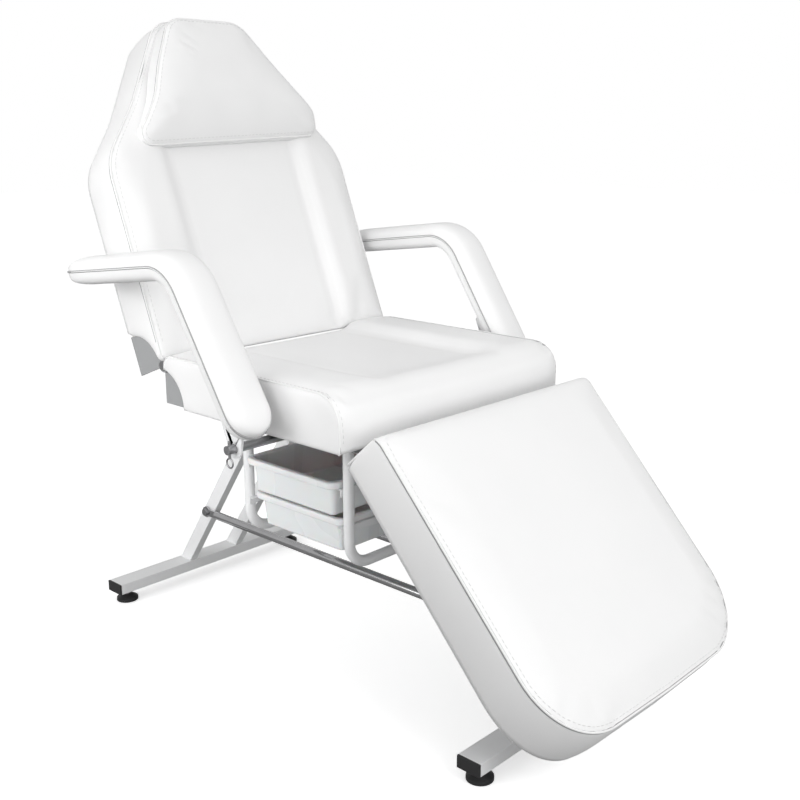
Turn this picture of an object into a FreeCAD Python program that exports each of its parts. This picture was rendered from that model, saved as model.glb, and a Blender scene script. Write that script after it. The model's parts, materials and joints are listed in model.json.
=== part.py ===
import FreeCAD, Part
import math
import os
import re

import Sketcher
from FreeCAD import Placement, Rotation, Vector

# Driving dimensions in millimetres and degrees
driving_sizes = {
    # Floor bars, their end caps and the levelling feet
    "bar_length": 520,
    "bar_depth": 46,
    "bar_height": 23,
    "bar_wall": 2,
    "bar_rise": 24,
    "rear_bar_behind": 264,
    "front_bar_ahead": 729,
    "cap_thickness": 4,
    "cap_plug": 18,
    "cap_fit": 0.2,
    "foot_inset": 27,
    "foot_radius": 23,
    "foot_rim": 6,
    "foot_dome": 7,
    "foot_neck_radius": 11,
    "stud_radius": 5,
    "stud_reach": 12,
    "nut_radius": 9,
    "nut_height": 6,
    "running_fit": 0.05,
    # Sloping legs and the frame under the seat
    "leg_depth": 30,
    "leg_width": 20,
    "leg_wall": 1.5,
    "leg_spread": 130,
    "leg_slope_angle": 55.5,
    "seat_underside": 500,
    "rail_height": 25,
    "rail_wall": 2,
    "cross_rail_depth": 40,
    "cross_rail_length": 430,
    "side_rail_width": 30,
    "side_rail_spread": 400,
    # Chrome stay rods between the front and rear legs
    "stay_height": 185,
    "stay_radius": 9,
    "stay_wall": 1.5,
    "stay_tab": 5,
    "stay_tab_radius": 12,
    "stay_tab_length": 34,
    "stay_standoff": 2,
    "stay_bolt_radius": 4,
    "stay_head_radius": 8,
    "stay_head_height": 5,
    # Tray hangers, runners and trays
    "hanger_radius": 10,
    "hanger_wall": 1.5,
    "hanger_bend": 45,
    "hanger_spread": 400,
    "hanger_rear": 133,
    "hanger_front": 403,
    "hanger_height": 258,
    "runner_thickness": 2,
    "runner_shelf": 12,
    "runner_flange": 14,
    "runner_length": 420,
    "tray_length": 380,
    "tray_width": 240,
    "tray_height": 66,
    "tray_wall": 2.5,
    "tray_lip": 11,
    "tray_lip_height": 12,
    "tray_corner": 16,
    "tray_top": 412,
    "tray_pitch": 72,
    "tray_reach": 205,
    "upper_tray_pull": 20,
    "tray_fit": 0.3,
    # Back hinge
    "back_hinge_y": 302.9,
    "back_hinge_z": 573,
    "back_lean_angle": 21.6,
    "pin_radius": 6,
    "pin_head_radius": 9,
    "pin_head_height": 3,
    "plate_thickness": 4,
    "plate_space": 1,
    "seat_plate_radius": 68,
    "back_plate_radius": 77,
    "plate_clearance": 2,
    "lug_radius": 13,
    "lug_clearance": 1.5,
    # Seat cushion and board
    "seat_width": 590,
    "seat_front": 480,
    "seat_rear": 7,
    "seat_thickness": 95,
    "seat_crown": 14,
    "seat_front_round": 48,
    "seat_rear_round": 40,
    "seat_foot_round": 20,
    "dish_half_width": 170,
    "dish_edge": 8,
    "dish_floor": 1,
    "side_draw": 7,
    "side_bulge": 3,
    "board_thickness": 12,
    "plate_inset": 15,
    "board_rear": 34,
    "board_front": 462,
    # Backrest cushion and board
    "back_overhang": 2,
    "back_length": 662,
    "back_shoulder": 378,
    "back_top_width": 206,
    "back_thickness": 94,
    "back_shoulder_round": 110,
    "back_top_round": 66,
    "back_foot_round": 30,
    "back_seam_ahead": 14,
    "back_foot_above": 17,
    "back_crown": 14,
    "back_board_foot": 30,
    "back_board_length": 330,
    # Head pillow
    "pillow_width": 496,
    "pillow_top_width": 190,
    "pillow_foot": 384,
    "pillow_length": 270,
    "pillow_thickness": 26,
    "pillow_gap": 0.9,
    "pillow_crown": 20,
    "pillow_corner": 26,
    "pillow_top_round": 70,
    # Leg rest, its hinge, rails and board
    "leg_hinge_ahead": 477,
    "leg_hinge_z": 482,
    "leg_droop_angle": 48,
    "leg_rest_width": 574,
    "leg_rest_foot_width": 568,
    "leg_rest_start": 8,
    "leg_rest_length": 546,
    "leg_rest_thin": 89,
    "leg_rest_thick": 91,
    "leg_rest_corner": 110,
    "leg_rest_crown": 8,
    "leg_rest_head_round": 24,
    "leg_rest_foot_round": 16,
    "leg_rail_height": 24,
    "leg_rail_width": 20,
    "leg_rail_length": 440,
    "leg_rail_centre": 190,
    "leg_rail_nose": 12,
    "leg_rail_solid": 30,
    "leg_board_start": 40,
    "leg_board_length": 440,
    "leg_board_half_width": 270,
    "leg_bracket_thickness": 5,
    "leg_eye_radius": 13,
    # Armrests
    "arm_clearance": 17,
    "arm_width": 86,
    "arm_height": 730,
    "arm_rise": 42,
    "arm_rear": 160,
    "arm_bend_ahead": 162,
    "arm_foot_ahead": 338,
    "arm_foot_height": 513,
    "arm_bend": 66,
    "arm_pad": 14,
    "arm_crown": 24,
    "arm_pad_draw": 5,
    "arm_round": 38,
    "arm_core": 14,
    "arm_core_width": 70,
    "arm_core_inset": 16,
    "arm_pivot_ahead": 295,
    "arm_axle_radius": 8,
    "arm_axle_past": 19,
    "arm_eye_radius": 17,
    "arm_bracket_thickness": 6,
    "arm_bracket_depth": 24,
    "arm_bracket_length": 140,
    "arm_clip_radius": 2.5,
    "arm_clip_length": 30,
    "arm_clip_inset": 6,
    "arm_ring_radius": 8,
    "arm_ring_wire": 1.5,
    # Length that every cut runs past the solid
    "overrun": 5,
}

# Places along a cushion's width where its top bulges most, as shares of the half width
bolster_share = 0.79

doc = FreeCAD.newDocument("beauty_bed")
sheet = doc.addObject("Spreadsheet::Sheet", "sizes")
for row, (name, value) in enumerate(driving_sizes.items(), start=1):
    sheet.set(f"A{row}", name)
    sheet.set(f"B{row}", str(value))
    sheet.setAlias(f"B{row}", name)
doc.recompute()

size_words = re.compile(r"\b(" + "|".join(sorted(driving_sizes, key=len, reverse=True)) + r")\b")
place_paths = {"x": "Placement.Base.x", "y": "Placement.Base.y", "z": "Placement.Base.z",
               "turn": "Placement.Rotation.Angle"}
parts = {}


def size(name):
    return float(sheet.get(name))


# Words such as bar_length/2 become an expression that reads the sheet's cells
def formula(words):
    return size_words.sub(r"sizes.\1", str(words))


def bind(item, **formulas):
    for target, words in formulas.items():
        item.setExpression(place_paths.get(target, target), formula(words))
    return item


def keep(item, label):
    item.Label = label
    parts[label] = item
    return item


def box(name, length, width, height, x, y, z):
    item = doc.addObject("Part::Box", name)
    return bind(item, Length=length, Width=width, Height=height, x=x, y=y, z=z)


# A cylinder whose axis runs along X, Y or Z from its start point
def rod(name, radius, length, x, y, z, axis="Z"):
    item = doc.addObject("Part::Cylinder", name)
    turns = {"X": Rotation(Vector(0, 1, 0), 90), "Y": Rotation(Vector(1, 0, 0), -90), "Z": Rotation()}
    item.Placement = Placement(Vector(), turns[axis])
    return bind(item, Radius=radius, Height=length, x=x, y=y, z=z)


def cut(name, base, tool):
    item = doc.addObject("Part::Cut", name)
    item.Base = base
    item.Tool = tool
    return item


def fuse(name, shapes):
    item = doc.addObject("Part::MultiFuse", name)
    item.Shapes = shapes
    item.Refine = True
    return item


def group(name, shapes):
    item = doc.addObject("Part::Compound", name)
    item.Links = shapes
    return item


def body(name):
    return doc.addObject("PartDesign::Body", name)


def origin_plane(owner, role):
    return next(plane for plane in owner.Origin.OriginFeatures if plane.Role == role)


def new_sketch(owner, role, start):
    sketch = owner.newObject("Sketcher::SketchObject", owner.Name + "_sketch")
    sketch.AttachmentSupport = [(origin_plane(owner, role), "")]
    sketch.MapMode = "FlatFace"
    return bind(sketch, **{"AttachmentOffset.Base.z": start})


# The value of a formula, for the first guess of a sketch's geometry
def worked_out(words):
    names = {name: size(name) for name in driving_sizes}
    sheet.set("D1", "=" + size_words.sub(lambda found: repr(names[found.group(1)]), str(words)))
    sheet.recompute()
    return float(sheet.get("D1"))


def pin_point(sketch, geometry, position, across, up):
    for kind, words in (("DistanceX", across), ("DistanceY", up)):
        first = worked_out(words)
        index = sketch.addConstraint(Sketcher.Constraint(kind, -1, 1, geometry, position, first))
        sketch.setExpression(f"Constraints[{index}]", formula(words))


# A closed outline of straight lines whose corners are formulas
def draw_outline(sketch, corners):
    guesses = [Vector(worked_out(across), worked_out(up), 0) for across, up in corners]
    count = len(corners)
    for index in range(count):
        sketch.addGeometry(Part.LineSegment(guesses[index], guesses[(index + 1) % count]))
    for index in range(count):
        sketch.addConstraint(Sketcher.Constraint("Coincident", index, 2, (index + 1) % count, 1))
    for index, (across, up) in enumerate(corners):
        pin_point(sketch, index, 1, across, up)


def draw_circle(sketch, across, up, radius):
    centre = Vector(worked_out(across), worked_out(up), 0)
    geometry = sketch.addGeometry(Part.Circle(centre, Vector(0, 0, 1), worked_out(radius)))
    index = sketch.addConstraint(Sketcher.Constraint("Radius", geometry, worked_out(radius)))
    sketch.setExpression(f"Constraints[{index}]", formula(radius))
    pin_point(sketch, geometry, 3, across, up)


def feature(owner, kind, sketch, length):
    item = owner.newObject("PartDesign::" + kind, owner.Name + "_" + kind.lower())
    item.Profile = sketch
    item.Reversed = kind == "Pocket"
    return bind(item, Length=length)


def add_outline(owner, role, corners, start, length):
    sketch = new_sketch(owner, role, start)
    draw_outline(sketch, corners)
    return feature(owner, "Pad", sketch, length)


def cut_outline(owner, role, corners, start, length):
    sketch = new_sketch(owner, role, start)
    draw_outline(sketch, corners)
    return feature(owner, "Pocket", sketch, length)


def add_disc(owner, role, across, up, radius, start, length):
    sketch = new_sketch(owner, role, start)
    draw_circle(sketch, across, up, radius)
    return feature(owner, "Pad", sketch, length)


def cut_bore(owner, role, across, up, radius, start, length):
    sketch = new_sketch(owner, role, start)
    draw_circle(sketch, across, up, radius)
    return feature(owner, "Pocket", sketch, length)


def rectangle(left, right, low, high):
    return [(left, low), (right, low), (right, high), (left, high)]


# Points in the X-Y, Y-Z and X-Z planes
def flat_point(a, b):
    return Vector(a, b, 0)


def side_point(a, b):
    return Vector(0, a, b)


def front_point(a, b):
    return Vector(a, 0, b)


# A wire of straight runs joined by tangent arcs, each corner given as across, up, radius
def rounded_wire(corners, to_space, closed=True):
    count = len(corners)
    bends = []
    for index, (across, up, radius) in enumerate(corners):
        here = Vector(across, up, 0)
        if not radius:
            bends.append((here, None, here))
            continue
        before = (flat_point(*corners[index - 1][:2]) - here).normalize()
        after = (flat_point(*corners[(index + 1) % count][:2]) - here).normalize()
        half = before.getAngle(after) / 2
        reach = radius / math.tan(half)
        inward = (before + after).normalize()
        middle = here + inward * (radius / math.sin(half) - radius)
        bends.append((here + before * reach, middle, here + after * reach))
    edges = []
    for index, (enter, middle, leave) in enumerate(bends):
        if middle:
            points = [to_space(point.x, point.y) for point in (enter, middle, leave)]
            edges.append(Part.Arc(*points).toShape())
        if closed or index < count - 1:
            ahead = bends[(index + 1) % count][0]
            edges.append(Part.makeLine(to_space(leave.x, leave.y), to_space(ahead.x, ahead.y)))
    return Part.Wire(edges)


# A cushion's cross-section: flat underside, swelling sides and a top of arcs through given points
def cushion_section(half, seam, draw, bulge, tops, to_space):
    foot = half - draw
    side = half - draw / 2 + bulge
    points = [(half, seam)] + tops + [(-half, seam)]
    edges = [Part.makeLine(to_space(-foot, 0), to_space(foot, 0))]
    rounds = [[(foot, 0), (side, seam / 2), (half, seam)]]
    rounds += [points[index:index + 3] for index in range(0, len(points) - 2, 2)]
    rounds += [[(-half, seam), (-side, seam / 2), (-foot, 0)]]
    for three in rounds:
        edges.append(Part.Arc(*[to_space(*point) for point in three]).toShape())
    return Part.Wire(edges)


def prism(wire, start, run):
    face = Part.Face(wire)
    face.translate(start)
    return face.extrude(run)


def solid_part(label, shape, placement=Placement()):
    item = doc.addObject("Part::Feature", label)
    item.Shape = shape
    item.Placement = placement
    return keep(item, label)


def back_placement():
    return Placement(Vector(0, size("back_hinge_y"), size("back_hinge_z")),
                     Rotation(Vector(1, 0, 0), -size("back_lean_angle")))


def leg_placement():
    return Placement(Vector(0, size("back_hinge_y") - size("leg_hinge_ahead"), size("leg_hinge_z")),
                     Rotation(Vector(1, 0, 0), size("leg_droop_angle")))


# Ties a body to the frame that turns with the backrest or the leg rest
def ride_back(item):
    item.Placement = back_placement()
    return bind(item, y="back_hinge_y", z="back_hinge_z", turn="-back_lean_angle")


def ride_leg(item):
    item.Placement = leg_placement()
    return bind(item, y="back_hinge_y - leg_hinge_ahead", z="leg_hinge_z", turn="leg_droop_angle")


sides = (("left", -1), ("right", 1))
board_half = "(seat_width/2 - plate_inset)"
back_half = "(seat_width/2 + back_overhang)"
arm_middle = f"({back_half} + arm_clearance + arm_width/2)"
axle_end = f"({arm_middle} + arm_axle_past)"
rear_bar_y = "back_hinge_y + rear_bar_behind"
front_bar_y = "back_hinge_y - front_bar_ahead"
bars = (("rear", rear_bar_y, 1), ("front", front_bar_y, -1))
bar_top = "bar_rise + bar_height"
rail_bottom = "seat_underside - rail_height"
leg_shift = f"({rail_bottom} - ({bar_top})) / tan(leg_slope_angle)"


# Rectangular floor bars, open at the ends for the caps and drilled below for the feet
def make_floor_bars():
    for name, y, _ in bars:
        shell = box(f"{name}_bar_shell", "bar_length", "bar_depth", "bar_height",
                    "-bar_length/2", f"{y} - bar_depth/2", "bar_rise")
        hollow = box(f"{name}_bar_hollow", "bar_length + 2*overrun", "bar_depth - 2*bar_wall",
                     "bar_height - 2*bar_wall", "-bar_length/2 - overrun",
                     f"{y} - bar_depth/2 + bar_wall", "bar_rise + bar_wall")
        holes = [rod(f"{name}_{side}_foot_hole", "stud_radius + running_fit", "bar_wall + 2*overrun",
                     f"{sign}*(bar_length/2 - foot_inset)", y, "bar_rise - overrun")
                 for side, sign in sides]
        cuts = fuse(f"{name}_bar_cuts", [hollow] + holes)
        keep(cut(f"{name}_floor_bar", shell, cuts), f"{name}_floor_bar")


# Plastic caps with a plug that fits inside the bar
def make_end_caps():
    caps = []
    for name, y, _ in bars:
        for side, sign in sides:
            outer = "bar_length/2" if sign > 0 else "-bar_length/2 - cap_thickness"
            inner = "bar_length/2 - cap_plug" if sign > 0 else "-bar_length/2"
            plate = box(f"{name}_{side}_cap_plate", "cap_thickness", "bar_depth", "bar_height",
                        outer, f"{y} - bar_depth/2", "bar_rise")
            plug = box(f"{name}_{side}_cap_plug", "cap_plug", "bar_depth - 2*bar_wall - 2*cap_fit",
                       "bar_height - 2*bar_wall - 2*cap_fit", inner,
                       f"{y} - bar_depth/2 + bar_wall + cap_fit", "bar_rise + bar_wall + cap_fit")
            caps.append(fuse(f"{name}_{side}_cap", [plate, plug]))
    keep(group("bar_end_caps", caps), "bar_end_caps")


# Turned pads, each on a threaded stud with a lock nut under the bar
def make_feet():
    pads, studs, nuts = [], [], []
    for name, y, _ in bars:
        for side, sign in sides:
            x = f"{sign}*(bar_length/2 - foot_inset)"
            rim = rod(f"{name}_{side}_pad_rim", "foot_radius", "foot_rim", x, y, 0)
            dome = doc.addObject("Part::Cone", f"{name}_{side}_pad_dome")
            bind(dome, Radius1="foot_radius", Radius2="foot_neck_radius", Height="foot_dome",
                 x=x, y=y, z="foot_rim")
            pads.append(fuse(f"{name}_{side}_pad", [rim, dome]))
            studs.append(rod(f"{name}_{side}_stud", "stud_radius",
                             "bar_rise - foot_rim - foot_dome + stud_reach", x, y, "foot_rim + foot_dome"))
            blank = doc.addObject("Part::Prism", f"{name}_{side}_nut_blank")
            blank.Polygon = 6
            bind(blank, Circumradius="nut_radius", Height="nut_height", x=x, y=y, z="bar_rise - nut_height")
            hole = rod(f"{name}_{side}_nut_hole", "stud_radius + running_fit", "nut_height + 2*overrun",
                       x, y, "bar_rise - nut_height - overrun")
            nuts.append(cut(f"{name}_{side}_nut", blank, hole))
    keep(group("foot_pads", pads), "foot_pads")
    keep(group("foot_studs", studs), "foot_studs")
    keep(group("foot_lock_nuts", nuts), "foot_lock_nuts")


# Sloping rectangular tubes from the floor bars up to the cross rails
def make_legs():
    half = "leg_depth / sin(leg_slope_angle) / 2"
    inside = "(leg_depth - 2*leg_wall) / sin(leg_slope_angle) / 2"
    for name, y, sign_y in bars:
        head = f"{y} - ({sign_y})*{leg_shift}"
        for side, sign in sides:
            leg = body(f"{name}_leg_{side}")
            x = f"{sign}*leg_spread/2"
            add_outline(leg, "YZ_Plane",
                        [(f"{y} - {half}", bar_top), (f"{y} + {half}", bar_top),
                         (f"{head} + {half}", rail_bottom), (f"{head} - {half}", rail_bottom)],
                        f"{x} - leg_width/2", "leg_width")
            cut_outline(leg, "YZ_Plane",
                        [(f"{y} - {inside}", bar_top), (f"{y} + {inside}", bar_top),
                         (f"{head} + {inside}", rail_bottom), (f"{head} - {inside}", rail_bottom)],
                        f"{x} - leg_width/2 + leg_wall", "leg_width - 2*leg_wall")
            keep(leg, f"{name}_leg_{side}")


# Welded frame of two cross rails on the legs and two side rails between them
def make_seat_frame():
    heads = {name: f"{y} - ({sign})*{leg_shift}" for name, y, sign in bars}
    for name, y in heads.items():
        shell = box(f"{name}_rail_shell", "cross_rail_length", "cross_rail_depth", "rail_height",
                    "-cross_rail_length/2", f"{y} - cross_rail_depth/2", rail_bottom)
        hollow = box(f"{name}_rail_hollow", "cross_rail_length + 2*overrun",
                     "cross_rail_depth - 2*rail_wall", "rail_height - 2*rail_wall",
                     "-cross_rail_length/2 - overrun", f"{y} - cross_rail_depth/2 + rail_wall",
                     f"{rail_bottom} + rail_wall")
        keep(cut(f"{name}_cross_rail", shell, hollow), f"{name}_cross_rail")
    start = f"{heads['front']} + cross_rail_depth/2"
    run = f"{heads['rear']} - ({heads['front']}) - cross_rail_depth"
    for side, sign in sides:
        left = f"{sign}*side_rail_spread/2 - side_rail_width/2"
        shell = box(f"{side}_rail_shell", "side_rail_width", run, "rail_height", left, start, rail_bottom)
        hollow = box(f"{side}_rail_hollow", "side_rail_width - 2*rail_wall", f"{run} + 2*overrun",
                     "rail_height - 2*rail_wall", f"{left} + rail_wall", f"{start} - overrun",
                     f"{rail_bottom} + rail_wall")
        keep(cut(f"side_rail_{side}", shell, hollow), f"side_rail_{side}")


# Chrome tubes with flat drilled tabs, bolted to the outer faces of the legs
def make_stay_rods():
    climb = f"(stay_height - ({bar_top})) / tan(leg_slope_angle)"
    rear, front = f"{rear_bar_y} - {climb}", f"{front_bar_y} + {climb}"
    bolts = []
    for side, sign in sides:
        face = "leg_spread/2 + leg_width/2 + stay_standoff"
        centre = f"{sign}*({face} + stay_tab/2)"
        span = f"{rear} - ({front}) - 2*stay_tab_length"
        start = f"{front} + stay_tab_length"
        tube = rod(f"stay_{side}_tube", "stay_radius", span, centre, start, "stay_height", "Y")
        bore = rod(f"stay_{side}_bore", "stay_radius - stay_wall", f"{span} - 4*overrun",
                   centre, f"{start} + 2*overrun", "stay_height", "Y")
        pieces = [cut(f"stay_{side}_pipe", tube, bore)]
        for end, y, low in (("rear", rear, f"{rear} - stay_tab_length - overrun"), ("front", front, front)):
            inner = f"{centre} - stay_tab/2"
            tab = box(f"stay_{side}_{end}_tab", "stay_tab", "stay_tab_length + overrun",
                      "2*(stay_radius - stay_wall)", inner, low, "stay_height - stay_radius + stay_wall")
            eye = rod(f"stay_{side}_{end}_eye", "stay_tab_radius", "stay_tab", inner, y, "stay_height", "X")
            hole = rod(f"stay_{side}_{end}_hole", "stay_bolt_radius + running_fit",
                       "stay_tab + 2*overrun", f"{inner} - overrun", y, "stay_height", "X")
            flat = fuse(f"stay_{side}_{end}_flat", [tab, eye])
            pieces.append(cut(f"stay_{side}_{end}_end", flat, hole))
            shank_from = "leg_spread/2 + leg_width/2" if sign > 0 else f"-({face} + stay_tab)"
            shank = rod(f"stay_{side}_{end}_shank", "stay_bolt_radius", "stay_standoff + stay_tab",
                        shank_from, y, "stay_height", "X")
            head_from = f"{face} + stay_tab" if sign > 0 else f"-({face} + stay_tab + stay_head_height)"
            head = rod(f"stay_{side}_{end}_head", "stay_head_radius", "stay_head_height",
                       head_from, y, "stay_height", "X")
            bolts.append(fuse(f"stay_{side}_{end}_bolt", [shank, head]))
        keep(fuse(f"stay_rod_{side}", pieces), f"stay_rod_{side}")
    keep(group("stay_bolts", bolts), "stay_bolts")


# Bent tube hangers that carry the tray runners below the side rails
def make_hangers():
    half = size("hanger_spread") / 2
    top = size("seat_underside") - size("rail_height")
    bottom, bend = size("hanger_height"), size("hanger_bend")
    path = rounded_wire([(-half, top, 0), (-half, bottom, bend), (half, bottom, bend), (half, top, 0)],
                        front_point, closed=False)
    tubes = []
    for radius in (size("hanger_radius"), size("hanger_radius") - size("hanger_wall")):
        ring = Part.Wire(Part.makeCircle(radius, Vector(-half, 0, top), Vector(0, 0, 1)))
        tubes.append(path.makePipeShell([ring], True, False))
    for name in ("rear", "front"):
        y = size("back_hinge_y") - size(f"hanger_{name}")
        solid_part(f"tray_hanger_{name}", tubes[0].cut(tubes[1]), Placement(Vector(0, y, 0), Rotation()))


# Angle runners welded to the inner sides of the hangers, one pair for each tray
def make_runners():
    inner = {"rear": "back_hinge_y - hanger_rear - hanger_radius",
             "front": "back_hinge_y - hanger_front + hanger_radius"}
    for level, drop in (("upper", "0"), ("lower", "tray_pitch")):
        shelf_top = f"tray_top - {drop} - tray_lip_height - tray_fit"
        angles = []
        for name, y in inner.items():
            flange_y = f"{y} - runner_thickness" if name == "rear" else y
            shelf_y = f"{y} - runner_shelf" if name == "rear" else y
            flange = box(f"{level}_{name}_flange", "runner_length", "runner_thickness", "runner_flange",
                         "-runner_length/2", flange_y, f"{shelf_top} - runner_flange")
            shelf = box(f"{level}_{name}_shelf", "runner_length", "runner_shelf", "runner_thickness",
                        "-runner_length/2", shelf_y, f"{shelf_top} - runner_thickness")
            angles.append(fuse(f"{level}_{name}_runner", [flange, shelf]))
        keep(group(f"{level}_tray_runners", angles), f"{level}_tray_runners")


# Open trays with a rolled lip that hangs on the runners
def make_trays():
    middle = "back_hinge_y - (hanger_rear + hanger_front)/2"
    body_half = "(tray_width/2 - tray_lip)"
    for level, drop, pull in (("upper", "0", "upper_tray_pull"), ("lower", "tray_pitch", "0")):
        tray = body(f"{level}_tray")
        near, far = f"-tray_reach - ({pull})", f"-tray_reach - ({pull}) + tray_length"
        top = f"tray_top - {drop}"
        add_outline(tray, "XY_Plane",
                    rectangle(f"{near} + tray_lip", f"{far} - tray_lip",
                              f"{middle} - {body_half}", f"{middle} + {body_half}"),
                    f"{top} - tray_height", "tray_height")
        add_outline(tray, "XY_Plane",
                    rectangle(near, far, f"{middle} - tray_width/2", f"{middle} + tray_width/2"),
                    f"{top} - tray_lip_height", "tray_lip_height")
        hollow = cut_outline(tray, "XY_Plane",
                             rectangle(f"{near} + tray_lip + tray_wall", f"{far} - tray_lip - tray_wall",
                                       f"{middle} - {body_half} + tray_wall",
                                       f"{middle} + {body_half} - tray_wall"),
                             f"{top} - tray_height + tray_wall", "tray_height")
        doc.recompute()
        upright = [f"Edge{index}" for index, edge in enumerate(hollow.Shape.Edges, start=1)
                   if edge.Curve.TypeId == "Part::GeomLine" and abs(edge.tangentAt(edge.FirstParameter).z) > 0.9]
        rounds = tray.newObject("PartDesign::Fillet", f"{level}_tray_corners")
        rounds.Base = (hollow, upright)
        bind(rounds, Radius="tray_corner - tray_wall")
        keep(tray, f"{level}_tray")


# Quarter-round side plates with hinge lugs, one pair on the seat and one on the back
def make_hinge_plates():
    bore = "pin_radius + running_fit"
    for side, sign in sides:
        inner = board_half
        seat_x = inner if sign > 0 else f"-({inner} + plate_thickness)"
        back_inner = f"{inner} + plate_thickness + plate_space"
        back_x = back_inner if sign > 0 else f"-({back_inner} + plate_thickness)"
        sector = doc.addObject("Part::Cylinder", f"seat_plate_{side}_sector")
        sector.Placement = Placement(Vector(), Rotation(Vector(0, 0, 1), Vector(0, -1, 0), Vector(1, 0, 0), "ZXY"))
        bind(sector, Radius="seat_plate_radius", Height="plate_thickness", x=seat_x,
             y="back_hinge_y + plate_clearance", z="seat_underside")
        sector.Angle = 90
        lug = rod(f"seat_plate_{side}_lug", "lug_radius", "plate_thickness", seat_x,
                  "back_hinge_y", "back_hinge_z", "X")
        hole = rod(f"seat_plate_{side}_hole", bore, "plate_thickness + 2*overrun",
                   f"{seat_x} - overrun", "back_hinge_y", "back_hinge_z", "X")
        whole = fuse(f"seat_plate_{side}_whole", [sector, lug])
        keep(cut(f"seat_hinge_plate_{side}", whole, hole), f"seat_hinge_plate_{side}")
        quarter = doc.addObject("Part::Cylinder", f"back_plate_{side}_sector")
        quarter.Placement = Placement(Vector(), Rotation(Vector(0, 0, 1), Vector(0, -1, 0), Vector(1, 0, 0), "ZXY"))
        bind(quarter, Radius="back_plate_radius", Height="plate_thickness", x=back_x,
             y="back_thickness - back_seam_ahead", z="-plate_clearance")
        quarter.Angle = 90
        eye = rod(f"back_plate_{side}_lug", "lug_radius", "plate_thickness", back_x, 0, 0, "X")
        opening = rod(f"back_plate_{side}_hole", bore, "plate_thickness + 2*overrun",
                      f"{back_x} - overrun", 0, 0, "X")
        joined = fuse(f"back_plate_{side}_whole", [quarter, eye])
        keep(ride_back(cut(f"back_hinge_plate_{side}", joined, opening)), f"back_hinge_plate_{side}")


# Headed pins through the hinge plates of each side
def make_hinge_pins():
    pins = []
    length = "2*plate_thickness + plate_space"
    for side, sign in sides:
        start = board_half if sign > 0 else f"-{board_half} - ({length})"
        head = f"{board_half} + {length}" if sign > 0 else f"{start} - pin_head_height"
        shank = rod(f"{side}_pin_shank", "pin_radius", length, start, "back_hinge_y", "back_hinge_z", "X")
        cap = rod(f"{side}_pin_head", "pin_head_radius", "pin_head_height", head,
                  "back_hinge_y", "back_hinge_z", "X")
        pins.append(fuse(f"{side}_pin", [shank, cap]))
    keep(group("back_hinge_pins", pins), "back_hinge_pins")


# Points across the top of a dished cushion, from the right bolster to the left one
def dished_tops(half, seam, crown):
    dish, edge, floor = size("dish_half_width"), size("dish_edge"), size("dish_floor")
    bolster = half * bolster_share
    return [(bolster, seam + crown), (dish, seam + edge), (0, seam + floor), (-dish, seam + edge),
            (-bolster, seam + crown)]


# A rod of the given radius along X, right through a cushion
def cross_cut(radius, y, z, half):
    length = 2 * (half + size("overrun"))
    return Part.makeCylinder(radius, length, Vector(-length / 2, y, z), Vector(1, 0, 0))


# A side profile carried right across a cushion
def across(profile, half):
    wide = half + size("overrun")
    return prism(profile, Vector(-wide, 0, 0), Vector(2 * wide, 0, 0))


# Dished seat cushion with a rolled front edge, over a plywood board
def make_seat():
    half, seam, crown = size("seat_width") / 2, size("seat_thickness"), size("seat_crown")
    hinge_y, low = size("back_hinge_y"), size("seat_underside")
    front, rear = hinge_y - size("seat_front"), hinge_y - size("seat_rear")
    over = size("overrun")
    top = low + seam + crown + over
    section = cushion_section(half, seam, size("side_draw"), size("side_bulge"),
                              dished_tops(half, seam, crown), front_point)
    along = prism(section, Vector(0, front - over, low), Vector(0, rear - front + 2 * over, 0))
    profile = rounded_wire([(rear, low - over, 0), (rear, top, size("seat_rear_round")),
                            (front, top, size("seat_front_round")),
                            (front, low - over, size("seat_foot_round"))], side_point)
    cushion = along.common(across(profile, half))
    recess = size("seat_plate_radius") + size("plate_clearance")
    cushion = cushion.cut(cross_cut(recess, hinge_y + size("plate_clearance"), low, half))
    cushion = cushion.cut(cross_cut(size("lug_radius") + size("lug_clearance"), hinge_y,
                                    size("back_hinge_z"), half))
    board = box("seat_board", f"2*{board_half}", "board_front - board_rear", "board_thickness",
                f"-{board_half}", "back_hinge_y - board_front", "seat_underside")
    keep(board, "seat_board")
    doc.recompute()
    solid_part("seat_cushion", cushion.cut(board.Shape))


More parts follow.
